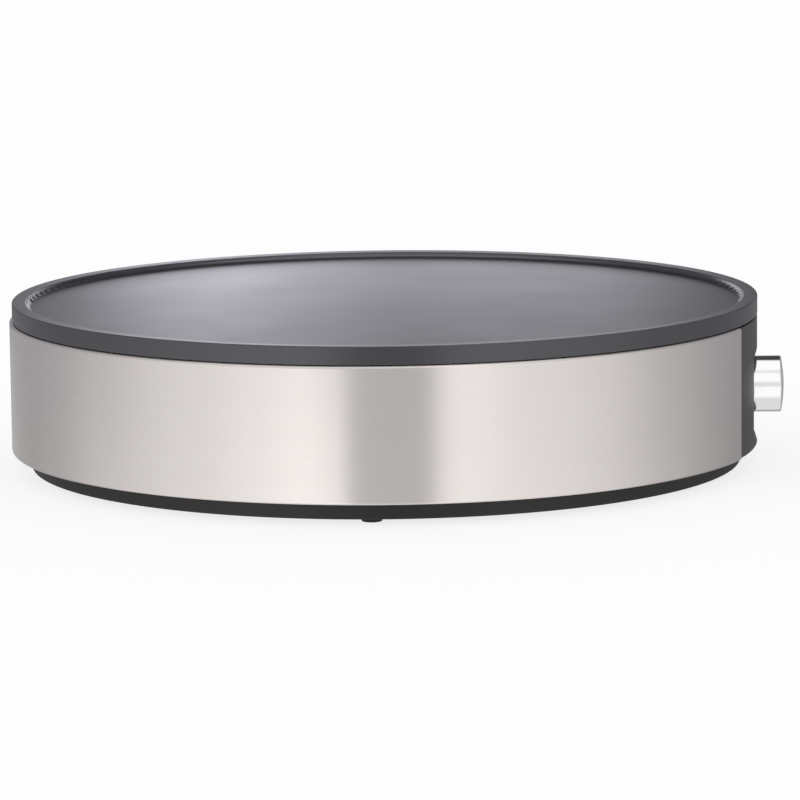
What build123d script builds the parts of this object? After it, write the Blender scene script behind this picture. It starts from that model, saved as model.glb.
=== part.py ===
from build123d import *
import os
from math import asin, cos, degrees, radians, sin, sqrt, tan

# Electric crepe maker. Millimetres, +Z up, origin on the body's axis at the plane of the feet.
# The control panel and the knob face -Y.

# ---------------------------------------------------------------- driving dimensions
# Hot plate
PLATE_R = 175.0
RIM_HEIGHT = 7.7            # from the plate's underside to the top of its rim
RIM_TOP_WIDTH = 6.6         # top of the rim
RIM_TOP_FALL = 0.25         # the rim's top falls a trace towards the middle, so batter runs back
RIM_SLOPE_RUN = 0.8         # run of the rim's inner wall
WELL_DEPTH = 2.7            # cooking surface below the rim
RIM_TOP_ROUND = 0.5
RIM_BOTTOM_ROUND = 0.4
RIM_INNER_ROUND = 0.5
WELL_ROUND = 2.6
DRIP_EDGE_WIDTH = 3.0       # lower edge under the rim, over the band
DRIP_EDGE_DEPTH = 0.7
PLATE_GAP = 1.0             # air gap between the plate and the band

# Tubular heating element, in a groove in the plate's ring boss
TUBE_R = 4.0
ELEMENT_R = 100.0
ELEMENT_GAP_ANGLE = 90.0    # where the ring is open
ELEMENT_HALF_GAP = 14.0     # degrees from there to the end of the arc
ELEMENT_BEND_R = 9.0
ELEMENT_LEAD_LENGTH = 14.0  # from the arc's end to the corner of the bend
ELEMENT_END_DROP = 24.2     # cold end's tip below the plate
ELEMENT_CLEARANCE = 0.05
BOSS_HALF_WIDTH = 12.0
BOSS_DROP = 9.0
BOSS_HALF_GAP = 17.0
BOSS_ROUND = 1.0

# Clamp straps across the element
CLAMP_ANGLES = (0, 60, 120, 180, 240, 300)
CLAMP_WIDTH = 10.0
CLAMP_T = 1.0
CLAMP_SCREW_OFFSET = 8.5    # either side of the element's centre line

# Terminal pins and their ceramic seals
PIN_R = 1.5
PIN_LENGTH = 10.0
SEAL_R = 3.6
SEAL_LENGTH = 4.0
SEAL_CLEARANCE = 0.1

# Studs that carry the plate
STUD_R = 2.5
STUD_CIRCLE_R = 128.0
STUD_ANGLES = (45, 135, 225, 315)
STUD_BOSS_R = 7.0
STUD_BOSS_DROP = 12.0
STUD_GRIP = 10.5            # length inside the plate's boss
STUD_HOLE_CLEARANCE = 0.2
THREAD_CLEARANCE = 0.05
INSULATOR_R = 7.0
INSULATOR_HEIGHT = 8.2
SPACER_R = 4.0
POST_R = 7.5
POST_HEIGHT = 16.1
POST_POCKET_R = 6.2
POST_ROOF = 10.0            # solid part of the post above the nut's pocket
WASHER_R = 5.0
WASHER_T = 1.0
NUT_ACROSS_FLATS = 8.0
NUT_HEIGHT = 4.0
STUD_TAIL = 1.5             # stud below its nut

# Heat reflector
REFLECTOR_MARGIN = 14.0     # beyond the circle of the studs
REFLECTOR_T = 0.6
REFLECTOR_LIP_WIDTH = 5.0
REFLECTOR_LIP_HEIGHT = 8.0
WIRE_HOLE_ANGLE = 56.7
WIRE_HOLE_INSET = 4.24      # centre of the hole inside the element's boss
WIRE_HOLE_R = 11.0
CAPILLARY_HOLE_R = 4.0
ELEMENT_HOLE_R = 5.5

# Base pan
SKIRT_SETBACK = 9.3         # skirt behind the band
SKIRT_HEIGHT = 7.9          # from its lower edge to the band
SKIRT_WALL = 2.5
SKIRT_ROUND = 0.6
FLOOR_T = 2.5
RIB_COUNT = 8
RIB_WIDTH = 1.6
RIB_INNER_R = 96.0
RIB_END_GAP = 14.5          # from the ribs' ends to the skirt
RIB_DEPTH = 3.0
VENT_COUNT = 24
VENT_WIDTH = 3.0
VENT_INNER_R = 58.0
VENT_OUTER_R = 86.0

# Feet
FOOT_PROUD = 2.0            # foot below the skirt
FOOT_TIP_R = 4.5
FOOT_R = 5.3
FOOT_ROUND = 0.6
FOOT_INSET = 8.5            # foot's centre inside the skirt
FOOT_ANGLES = (0, 90, 180, 270)
FOOT_CLEARANCE = 0.1
SOCKET_WALL = 2.0
SOCKET_DROP = 4.4

# Steel band
BAND_PROUD = 1.3            # band beyond the plate
BAND_HEIGHT = 61.3
BAND_T = 0.8
BAND_BEND_R = 1.2
BAND_TOP_LIP = 8.0
BAND_BOTTOM_LIP = 19.0
BAND_END_LIP = 13.0

# Control panel, between the ends of the band
PANEL_HALF_ANGLE = 20.0
PANEL_SETBACK = 1.4         # panel's outer face behind the band's
PANEL_WALL = 3.0
PANEL_END_WALL = 4.0
PANEL_DECK_T = 2.5          # top and bottom walls
PANEL_TOP_DROP = 0.5
PANEL_EDGE_ROUND = 0.8
DIAL_FLAT_DEPTH = 2.4       # flat behind the panel's outer face, at the middle
DIAL_FLAT_LOW = 5.6         # flat's lower edge above the band's bottom
DIAL_FLAT_HIGH = 43.1
DIAL_FLAT_LOW_SLOPE = 5.0   # height over which the flat runs out to the outer face
DIAL_FLAT_HIGH_SLOPE = 2.5
DIAL_BLOCK_HALF_WIDTH = 34.0
DIAL_BLOCK_MARGIN = 3.5
PANEL_SCREW_HEIGHTS = (14.0, 48.0)
PANEL_SCREW_INSET = 7.8     # from the band's outer face
PANEL_SCREW_GRIP = 5.5

# Knob, on the dial flat
KNOB_HEIGHT = 26.7          # axis above the band's bottom
KNOB_R = 13.2
KNOB_LENGTH = 13.0
KNOB_DOME = 1.4
KNOB_GAP = 0.5              # between the flat and the knob
KNOB_WALL = 1.9
KNOB_FACE_T = 2.0
KNOB_EDGE_ROUND = 0.8
HUB_R = 5.5
HUB_SETBACK = 0.5
POINTER_WIDTH = 1.1
POINTER_START = 4.0
POINTER_END = 12.0
POINTER_DEPTH = 0.7         # below the knob's rim
KNOB_REST_ANGLE = -135.0    # pointer from straight up, clockwise positive
CLIP_T = 0.6
CLIP_WIDTH = 3.0
CLIP_GAP = 4.0

# Thermostat
SPINDLE_R = 3.0
SPINDLE_FLAT = 1.5          # flat's distance from the spindle's axis
SPINDLE_FLAT_LENGTH = 10.0
SPINDLE_ENGAGEMENT = 9.8    # inside the knob
RUNNING_CLEARANCE = 0.05
SPINDLE_HOLE_R = 4.0
THERMOSTAT_SETBACK = 10.9   # body's front behind the dial flat
THERMOSTAT_HALF_WIDTH = 18.0
THERMOSTAT_DEPTH = 25.6
THERMOSTAT_BELOW = 16.0
THERMOSTAT_ABOVE = 13.4
THERMOSTAT_ROUND = 1.0
BUSHING_R = 5.0
BUSHING_LENGTH = 6.4
SPINDLE_DEPTH = 11.5        # spindle's bore inside the body
BRACKET_T = 1.2
BRACKET_HALF_WIDTH = 19.0
BRACKET_DEPTH = 22.8
BRACKET_TOP_MARGIN = 2.0
BRACKET_CLEARANCE = 0.3
THERMOSTAT_SCREW_X = 13.0
BRACKET_SCREW_X = 14.0
BRACKET_SCREW_BACK = 6.0    # from the bracket foot's rear edge
BRACKET_BOSS_R = 4.0
BRACKET_BOSS_HEIGHT = 3.0
TAB_WIDTH = 6.3
TAB_T = 0.8
TAB_LENGTH = 8.0
TAB_X = 10.0
TAB_BELOW_AXIS = 6.6
SIDE_TAB_BACK = 16.6        # from the thermostat's front
SIDE_TAB_BELOW_AXIS = 8.0
SIDE_TAB_LENGTH = 7.0

# Sensor bulb and capillary tube
BULB_R = 3.0
BULB_LENGTH = 70.0
BULB_END_GAP = 28.0         # from the element's boss to the bulb's front end
CAPILLARY_R = 0.8
CAPILLARY_X = 11.0          # where it enters the thermostat
CAPILLARY_ABOVE_AXIS = 8.4
CLIP_STRAP_T = 0.8
CLIP_STRAP_SLACK = 0.6
CLIP_STRAP_FOOT = 9.0
CLIP_STRAP_WIDTH = 10.0
CLIP_BOSS_R = 4.0
CONTACT_CLEARANCE = 0.05
BULB_CLIP_Y = -25.0

# Thermal cut-out
FUSE_R = 2.0
FUSE_LENGTH = 14.0
FUSE_ANGLE = 47.7
FUSE_INSET = 28.54          # inside the element's boss

# Earth tag
EARTH_ANGLE = 31.5
EARTH_INSET = 15.28         # inside the element's boss
EARTH_BOSS_R = 4.5
EARTH_BOSS_DROP = 4.0
TAG_R = 4.2
TAG_T = 0.8
TAG_WIDTH = 4.0
TAG_LENGTH = 12.0

# Lamps, either side of the knob
LAMP_OFFSET = 24.0
LENS_R = 2.5
LENS_PROUD = 0.25
LENS_FLANGE_R = 3.6
LENS_FLANGE_T = 1.0
LENS_CLEARANCE = 0.1
HOLDER_R = 3.2
HOLDER_LENGTH = 16.5
LEAD_SPREAD = 1.8           # leads above and below the holder's axis

# Cord gland
GLAND_ANGLE = 60.0
GLAND_HEIGHT = 16.1         # axis above the band's bottom
GLAND_BORE_R = 3.8
GLAND_BODY_R = 6.9
GLAND_CLEARANCE = 0.1
GLAND_FLANGE_R = 9.0
GLAND_FLANGE_T = 2.6
GLAND_NOSE = 10.0           # length inside the band
GLAND_NUT_FLATS = 18.0
GLAND_NUT_T = 4.0
GLAND_NUT_CLEARANCE = 0.01  # the nut's corners off the curved wall
GLAND_SEAT_GAP = 0.1        # a flat face against the curved band

# Terminal block
BLOCK_ANGLE = 63.8
BLOCK_INSET = 44.8          # block's centre inside the band
BLOCK_LENGTH = 34.0
BLOCK_WIDTH = 20.0
BLOCK_HEIGHT = 15.0
BLOCK_ROUND = 1.0
POLE_PITCH = 11.0
POLE_HOLE_R = 2.7
POLE_HOLE_DEPTH = 4.0
POLE_ABOVE_FLOOR = 7.1
POLE_SCREW_OFFSET = 5.5
POLE_SCREW_DEPTH = 4.0

# Wires
WIRE_R = 1.2
LEAD_R = 0.7
WIRE_LIFT = 2.6             # axis of a wire that runs along the floor, above it
CONNECTOR_LENGTH = 14.0
CONNECTOR_WALL = 1.1
CONNECTOR_BITE = 7.0        # tab inside the connector
CONNECTOR_CLEARANCE = 0.1
SPLICE_R = 3.2
SPLICE_HALF_LENGTH = 7.0
SPLICE_PITCH = 1.5          # between two wires that enter it
PAIR_OFFSET = 1.3           # two wires side by side in one pole
SPLICE_GAP = 17.0           # behind the push-on connectors

# Screws: shank radius, head radius, head height
M3 = (1.5, 2.8, 1.8)
M35 = (1.75, 3.2, 2.0)
M4 = (2.0, 3.8, 2.4)
HOLE_CLEARANCE = 0.2
CLAMP_SCREW_GRIP = 5.0
CLIP_SCREW_GRIP = 4.0
THERMOSTAT_SCREW_LENGTH = 6.0
BASE_SCREW_LENGTH = 8.0
BASE_SCREW_INSET = 5.5      # inside the skirt
PANEL_BASE_SCREW_ANGLE = 12.0            # from the panel's middle
BAND_SCREW_ANGLES = (35.0, 67.5, 112.5, 145.0)
PANEL_BOSS_R = 3.5
PANEL_BOSS_HEIGHT = 5.0

# ---------------------------------------------------------------- derived levels and places
Z_SKIRT = FOOT_PROUD
Z_FLOOR = Z_SKIRT + SKIRT_HEIGHT
Z_FLOOR_UNDER = Z_FLOOR - FLOOR_T
Z_BAND_TOP = Z_FLOOR + BAND_HEIGHT
Z_PLATE = Z_BAND_TOP + PLATE_GAP
Z_RIM = Z_PLATE + RIM_HEIGHT
Z_SURFACE = Z_RIM - WELL_DEPTH

Z_BOSS = Z_PLATE - BOSS_DROP
Z_TUBE = Z_BOSS + TUBE_R + ELEMENT_CLEARANCE
Z_TUBE_END = Z_PLATE - ELEMENT_END_DROP
Z_STUD_BOSS = Z_PLATE - STUD_BOSS_DROP
Z_REFLECTOR = Z_STUD_BOSS - INSULATOR_HEIGHT
Z_POST = Z_FLOOR + POST_HEIGHT
Z_POCKET = Z_POST - POST_ROOF
Z_WIRE = Z_FLOOR + WIRE_LIFT

BAND_R = PLATE_R + BAND_PROUD
SKIRT_R = BAND_R - SKIRT_SETBACK
FOOT_CIRCLE_R = SKIRT_R - FOOT_INSET
BASE_SCREW_CIRCLE_R = SKIRT_R - BASE_SCREW_INSET
REFLECTOR_R = STUD_CIRCLE_R + REFLECTOR_MARGIN
BOSS_INNER_R = ELEMENT_R - BOSS_HALF_WIDTH

PANEL_R = BAND_R - PANEL_SETBACK
FLAT_Y = -(PANEL_R - DIAL_FLAT_DEPTH)
PANEL_INNER_Y = FLAT_Y + PANEL_WALL
Z_KNOB = Z_FLOOR + KNOB_HEIGHT
FRONT_ANGLE = -90.0

THERMOSTAT_FRONT_Y = FLAT_Y + THERMOSTAT_SETBACK
THERMOSTAT_BACK_Y = THERMOSTAT_FRONT_Y + THERMOSTAT_DEPTH
Z_BRACKET_FOOT = Z_FLOOR + BRACKET_BOSS_HEIGHT
BRACKET_FRONT_Y = THERMOSTAT_FRONT_Y - BRACKET_T
BRACKET_BACK_Y = BRACKET_FRONT_Y + BRACKET_DEPTH
BRACKET_SCREW_Y = BRACKET_BACK_Y - BRACKET_SCREW_BACK
Z_TAB = Z_KNOB - TAB_BELOW_AXIS
Z_SIDE_TAB = Z_KNOB - SIDE_TAB_BELOW_AXIS
SIDE_TAB_Y = THERMOSTAT_FRONT_Y + SIDE_TAB_BACK
Z_BULB = Z_PLATE - BULB_R - CONTACT_CLEARANCE
Z_FUSE = Z_PLATE - FUSE_R - CONTACT_CLEARANCE
BULB_FRONT_Y = BULB_END_GAP - BOSS_INNER_R
HOLDER_BACK_Y = PANEL_INNER_Y + LENS_FLANGE_T + HOLDER_LENGTH
CONNECTOR_BACK_Y = THERMOSTAT_BACK_Y + TAB_LENGTH - CONNECTOR_BITE + CONNECTOR_LENGTH
SPLICE_Y = CONNECTOR_BACK_Y + SPLICE_GAP
Z_SPLICE = Z_FLOOR + SPLICE_R + CONTACT_CLEARANCE

DIAL = Plane(origin=(0, FLAT_Y, Z_KNOB), x_dir=(1, 0, 0), z_dir=(0, -1, 0))
GLAND = Plane(
    origin=(BAND_R * cos(radians(GLAND_ANGLE)), BAND_R * sin(radians(GLAND_ANGLE)), Z_FLOOR + GLAND_HEIGHT),
    z_dir=(cos(radians(GLAND_ANGLE)), sin(radians(GLAND_ANGLE)), 0),
)


# ---------------------------------------------------------------- helpers
def polar(radius, angle):
    return radius * cos(radians(angle)), radius * sin(radians(angle))


WIRE_HOLE = polar(BOSS_INNER_R - WIRE_HOLE_INSET, WIRE_HOLE_ANGLE)
FUSE_CENTRE = polar(BOSS_INNER_R - FUSE_INSET, FUSE_ANGLE)
EARTH_POINT = polar(BOSS_INNER_R - EARTH_INSET, EARTH_ANGLE)
BLOCK_CENTRE = polar(BAND_R - BLOCK_INSET, BLOCK_ANGLE)


def rod(radius, low, high, x=0.0, y=0.0):
    """Upright cylinder between two heights."""
    return Pos(x, y, (low + high) / 2) * Cylinder(radius, high - low)


def tube(outer, inner, low, high, x=0.0, y=0.0):
    return rod(outer, low, high, x, y) - rod(inner, low - 1, high + 1, x, y)


def block(x0, x1, y0, y1, z0, z1):
    return Pos((x0 + x1) / 2, (y0 + y1) / 2, (z0 + z1) / 2) * Box(x1 - x0, y1 - y0, z1 - z0)


def turned(corners, start=0.0, arc=360.0):
    """Solid of revolution about Z. A corner is (radius, height) or (radius, height, rounding)."""
    points = [(corner[0], corner[1]) for corner in corners]
    roundings = [corner[2] if len(corner) > 2 else 0 for corner in corners]
    outline = FilletPolyline(*points, radius=roundings, close=True)
    return Rot(0, 0, start) * revolve(Plane.XZ * make_face(outline), Axis.Z, arc)


def drilled(plane, radius, depth, overshoot=1.0):
    """Cylinder to cut a hole from the plane's origin down to the depth below it."""
    return plane * rod(radius, -depth, overshoot)


def screw(size, length):
    """Pan-head screw: seat at the origin, shank down, cross recess in the head."""
    shank_r, head_r, head_h = size
    recess_floor = head_h * 0.4
    arm, half_width = head_r * 0.55, head_r / 9
    body = turned([(0, -length), (shank_r, -length, shank_r / 3), (shank_r, 0), (head_r, 0),
                   (head_r, head_h, head_h / 2), (0, head_h)])
    for angle in (0, 90):
        body -= Rot(0, 0, angle) * block(-arm, arm, -half_width, half_width, recess_floor, head_h + 1)
    return body


def facing(point, direction):
    return Plane(origin=point, z_dir=direction)


def group(solids):
    return Compound(children=list(solids))


def bend_radii(points):
    """For each corner of a route, the largest arc that its shorter run allows."""
    radii = []
    for before, corner, after in zip(points, points[1:], points[2:]):
        run_in = Vector(*corner) - Vector(*before)
        run_out = Vector(*after) - Vector(*corner)
        half_turn = radians(run_in.get_angle(run_out) / 2)
        radii.append(0.45 * min(run_in.length, run_out.length) / tan(half_turn))
    return radii


def wire(points, radius=WIRE_R):
    path = FilletPolyline(*points, radius=bend_radii(points))
    section = Plane(origin=path @ 0, z_dir=path % 0) * Circle(radius)
    return sweep(section, path=path)


# ---------------------------------------------------------------- hot plate and heater
def clip_screw_places(centre, angle):
    """The two fixing points of a saddle clip over a tube that runs along Y, turned by the angle."""
    for side in (-1, 1):
        offset = Vector(side * CLIP_STRAP_FOOT, 0).rotate(Axis.Z, angle)
        yield centre[0] + offset.X, centre[1] + offset.Y


BULB_CLIP_CENTRE = (0.0, BULB_CLIP_Y)
CLIPS = ((BULB_CLIP_CENTRE, 0, Z_BULB), (FUSE_CENTRE, 90, Z_FUSE))


def clamp_screw_places():
    for angle in CLAMP_ANGLES:
        for offset in (-CLAMP_SCREW_OFFSET, CLAMP_SCREW_OFFSET):
            yield polar(ELEMENT_R + offset, angle)


def make_hot_plate():
    well_r = PLATE_R - RIM_TOP_WIDTH - RIM_SLOPE_RUN
    drip_r = PLATE_R - DRIP_EDGE_WIDTH
    z_drip = Z_PLATE - DRIP_EDGE_DEPTH
    plate = turned([
        (0, Z_PLATE), (drip_r, Z_PLATE), (drip_r, z_drip), (PLATE_R, z_drip, RIM_BOTTOM_ROUND),
        (PLATE_R, Z_RIM, RIM_TOP_ROUND),
        (PLATE_R - RIM_TOP_WIDTH, Z_RIM - RIM_TOP_FALL, RIM_INNER_ROUND),
        (well_r, Z_SURFACE, WELL_ROUND), (0, Z_SURFACE),
    ])
    root = Z_PLATE + 1.0
    outer = ELEMENT_R + BOSS_HALF_WIDTH
    plate += turned([(BOSS_INNER_R, root), (BOSS_INNER_R, Z_BOSS, BOSS_ROUND), (outer, Z_BOSS, BOSS_ROUND),
                     (outer, root)],
                    ELEMENT_GAP_ANGLE + BOSS_HALF_GAP, 360 - 2 * BOSS_HALF_GAP)
    groove_r = TUBE_R + ELEMENT_CLEARANCE
    plate -= tube(ELEMENT_R + groove_r, ELEMENT_R - groove_r, Z_BOSS - 1, Z_TUBE)
    plate -= Pos(0, 0, Z_TUBE) * Torus(ELEMENT_R, groove_r)
    for x, y in clamp_screw_places():
        plate -= rod(M35[0] + THREAD_CLEARANCE, Z_BOSS - 1, Z_BOSS + CLAMP_SCREW_GRIP, x, y)
    for angle in STUD_ANGLES:
        x, y = polar(STUD_CIRCLE_R, angle)
        plate += rod(STUD_BOSS_R, Z_STUD_BOSS, root, x, y)
        plate -= rod(STUD_R + THREAD_CLEARANCE, Z_STUD_BOSS - 1, Z_STUD_BOSS + STUD_GRIP, x, y)
    for centre, angle, z_axis in CLIPS:
        for x, y in clip_screw_places(centre, angle):
            plate += rod(CLIP_BOSS_R, z_axis, root, x, y)
            plate -= rod(M3[0] + THREAD_CLEARANCE, z_axis - 1, z_axis + CLIP_SCREW_GRIP, x, y)
    z_earth = Z_PLATE - EARTH_BOSS_DROP
    plate += rod(EARTH_BOSS_R, z_earth, root, *EARTH_POINT)
    plate -= rod(M4[0] + THREAD_CLEARANCE, z_earth - 1, z_earth + CLAMP_SCREW_GRIP, *EARTH_POINT)
    return plate


def element_end(side):
    """Points of one cold end: end of the arc, corner of the bend, tip. side is 1 or -1."""
    x, y = polar(ELEMENT_R, ELEMENT_GAP_ANGLE - side * ELEMENT_HALF_GAP)
    run_x, run_y = polar(ELEMENT_LEAD_LENGTH, ELEMENT_GAP_ANGLE + side * (90 - ELEMENT_HALF_GAP))
    return (x, y, Z_TUBE), (x + run_x, y + run_y, Z_TUBE), (x + run_x, y + run_y, Z_TUBE_END)


def pin_place(side):
    return element_end(side)[2][:2]


def make_heating_element():
    first, last = element_end(-1), element_end(1)
    lead_in = FilletPolyline(*reversed(first), radius=ELEMENT_BEND_R)
    ring = CenterArc((0, 0, Z_TUBE), ELEMENT_R, ELEMENT_GAP_ANGLE + ELEMENT_HALF_GAP,
                     360 - 2 * ELEMENT_HALF_GAP)
    lead_out = FilletPolyline(*last, radius=ELEMENT_BEND_R)
    path = Wire(lead_in.edges() + ring.edges() + lead_out.edges())
    return sweep(facing(first[2], (0, 0, 1)) * Circle(TUBE_R), path=path)


def make_element_seals():
    return group(tube(SEAL_R, PIN_R + SEAL_CLEARANCE, Z_TUBE_END - SEAL_LENGTH, Z_TUBE_END, *pin_place(side))
                 for side in (-1, 1))


def make_element_pins():
    return group(rod(PIN_R, Z_TUBE_END - PIN_LENGTH, Z_TUBE_END, *pin_place(side)) for side in (-1, 1))


def make_element_clamps():
    straps = []
    for angle in CLAMP_ANGLES:
        strap = block(BOSS_INNER_R, ELEMENT_R + BOSS_HALF_WIDTH,
                      -CLAMP_WIDTH / 2, CLAMP_WIDTH / 2, Z_BOSS - CLAMP_T, Z_BOSS)
        strap = fillet(strap.edges().filter_by(Axis.Z), CLAMP_WIDTH / 4)
        for offset in (-CLAMP_SCREW_OFFSET, CLAMP_SCREW_OFFSET):
            strap -= rod(M35[0] + HOLE_CLEARANCE, Z_BOSS - 2 * CLAMP_T, Z_BOSS + 1, ELEMENT_R + offset)
        straps.append(Rot(0, 0, angle) * strap)
    return group(straps)


def upward_screw(size, length, x, y, z_seat):
    """Screw driven upward from below, its head under z_seat."""
    return facing((x, y, z_seat), (0, 0, -1)) * screw(size, length)


def make_clamp_screws():
    length = CLAMP_SCREW_GRIP + CLAMP_T - THREAD_CLEARANCE
    return group(upward_screw(M35, length, x, y, Z_BOSS - CLAMP_T) for x, y in clamp_screw_places())


def stud_places():
    return [polar(STUD_CIRCLE_R, angle) for angle in STUD_ANGLES]


def make_plate_studs():
    low = Z_POCKET - WASHER_T - NUT_HEIGHT - STUD_TAIL
    high = Z_STUD_BOSS + STUD_GRIP - 0.5
    return group(rod(STUD_R, low, high, x, y) for x, y in stud_places())


def make_stud_insulators():
    return group(tube(INSULATOR_R, STUD_R + STUD_HOLE_CLEARANCE, Z_REFLECTOR, Z_STUD_BOSS, x, y)
                 for x, y in stud_places())


def make_stud_spacers():
    return group(tube(SPACER_R, STUD_R + STUD_HOLE_CLEARANCE, Z_POST, Z_REFLECTOR - REFLECTOR_T, x, y)
                 for x, y in stud_places())


def make_stud_washers():
    return group(tube(WASHER_R, STUD_R + STUD_HOLE_CLEARANCE, Z_POCKET - WASHER_T, Z_POCKET, x, y)
                 for x, y in stud_places())


def hex_nut(across_flats, bore_r, low, high):
    prism = extrude(Pos(0, 0, low) * RegularPolygon(across_flats / 2, 6, major_radius=False), high - low)
    return prism - rod(bore_r, low - 1, high + 1)


def make_stud_nuts():
    high = Z_POCKET - WASHER_T
    return group(Pos(x, y, 0) * hex_nut(NUT_ACROSS_FLATS, STUD_R + THREAD_CLEARANCE, high - NUT_HEIGHT, high)
                 for x, y in stud_places())


def make_heat_reflector():
    low = Z_REFLECTOR - REFLECTOR_T
    lip_r, lip_z = REFLECTOR_R + REFLECTOR_LIP_WIDTH, Z_REFLECTOR + REFLECTOR_LIP_HEIGHT
    dish = turned([(0, low), (REFLECTOR_R, low), (lip_r, lip_z), (lip_r - REFLECTOR_T, lip_z),
                   (REFLECTOR_R - REFLECTOR_T, Z_REFLECTOR), (0, Z_REFLECTOR)])
    holes = [(STUD_R + STUD_HOLE_CLEARANCE, place) for place in stud_places()]
    holes += [(ELEMENT_HOLE_R, pin_place(side)) for side in (-1, 1)]
    holes += [(WIRE_HOLE_R, WIRE_HOLE), (CAPILLARY_HOLE_R, CAPILLARY_ROUTE[1][:2])]
    for radius, (x, y) in holes:
        dish -= rod(radius, low - 1, Z_REFLECTOR + 1, x, y)
    return dish


def saddle_clip(radius, angle, centre, z_axis):
    """Sheet strap that holds a tube against the plate, its feet screwed to two bosses."""
    side = radius + CLIP_STRAP_SLACK
    low = -(radius + CONTACT_CLEARANCE)
    reach = CLIP_STRAP_FOOT + CLIP_BOSS_R
    upper = [(-reach, 0), (-side, 0), (-side, low), (side, low), (side, 0), (reach, 0)]
    lower = [(reach, -CLIP_STRAP_T), (side + CLIP_STRAP_T, -CLIP_STRAP_T),
             (side + CLIP_STRAP_T, low - CLIP_STRAP_T), (-side - CLIP_STRAP_T, low - CLIP_STRAP_T),
             (-side - CLIP_STRAP_T, -CLIP_STRAP_T), (-reach, -CLIP_STRAP_T)]
    face = Plane.XZ * make_face(Polyline(*upper, *lower, close=True))
    strap = extrude(face, CLIP_STRAP_WIDTH / 2, both=True)
    for offset in (-CLIP_STRAP_FOOT, CLIP_STRAP_FOOT):
        strap -= rod(M3[0] + HOLE_CLEARANCE, -2 * CLIP_STRAP_T, 1, offset)
    return Pos(*centre, z_axis) * Rot(0, 0, angle) * strap


def make_clip_screws(centre, angle, z_axis):
    length = CLIP_SCREW_GRIP + CLIP_STRAP_T - THREAD_CLEARANCE
    return group(upward_screw(M3, length, x, y, z_axis - CLIP_STRAP_T)
                 for x, y in clip_screw_places(centre, angle))


def make_sensor_bulb():
    bulb = Cylinder(BULB_R, BULB_LENGTH, rotation=(90, 0, 0))
    bulb = fillet(bulb.edges(), BULB_R / 3)
    return Pos(0, BULB_FRONT_Y + BULB_LENGTH / 2, Z_BULB) * bulb


CAPILLARY_ROUTE = [
    (0, BULB_FRONT_Y, Z_BULB),
    (0, BULB_FRONT_Y - 18, Z_BULB),
    (1, BULB_FRONT_Y - 18.5, Z_KNOB + 6),
    (6, THERMOSTAT_BACK_Y + 30, Z_KNOB + 1),
    (CAPILLARY_X, THERMOSTAT_BACK_Y + 13, Z_KNOB + CAPILLARY_ABOVE_AXIS),
    (CAPILLARY_X, THERMOSTAT_BACK_Y, Z_KNOB + CAPILLARY_ABOVE_AXIS),
]


def make_thermal_fuse():
    sleeve = Cylinder(FUSE_R, FUSE_LENGTH, rotation=(0, 90, 0))
    return Pos(*FUSE_CENTRE, Z_FUSE) * sleeve


def make_earth_tag():
    x, y = EARTH_POINT
    high = Z_PLATE - EARTH_BOSS_DROP
    low = high - TAG_T
    tag = rod(TAG_R, low, high, x, y)
    tag += block(x - TAG_WIDTH / 2, x + TAG_WIDTH / 2, y, y + TAG_LENGTH, low, high)
    return tag - rod(M4[0] + HOLE_CLEARANCE, low - 1, high + 1, x, y)


def make_earth_screw():
    length = CLAMP_SCREW_GRIP + TAG_T - THREAD_CLEARANCE
    return upward_screw(M4, length, *EARTH_POINT, Z_PLATE - EARTH_BOSS_DROP - TAG_T)


# ---------------------------------------------------------------- housing
def band_screw_places():
    for angle in BAND_SCREW_ANGLES:
        for side in (-1, 1):
            yield polar(BASE_SCREW_CIRCLE_R, FRONT_ANGLE + side * angle)


def panel_base_screw_places():
    for side in (-1, 1):
        yield polar(BASE_SCREW_CIRCLE_R, FRONT_ANGLE + side * PANEL_BASE_SCREW_ANGLE)


def block_screw_places():
    for side in (-1, 1):
        yield BLOCK_CENTRE[0] + side * POLE_PITCH / 2, BLOCK_CENTRE[1]


def bracket_screw_places():
    for side in (-1, 1):
        yield side * BRACKET_SCREW_X, BRACKET_SCREW_Y


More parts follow.
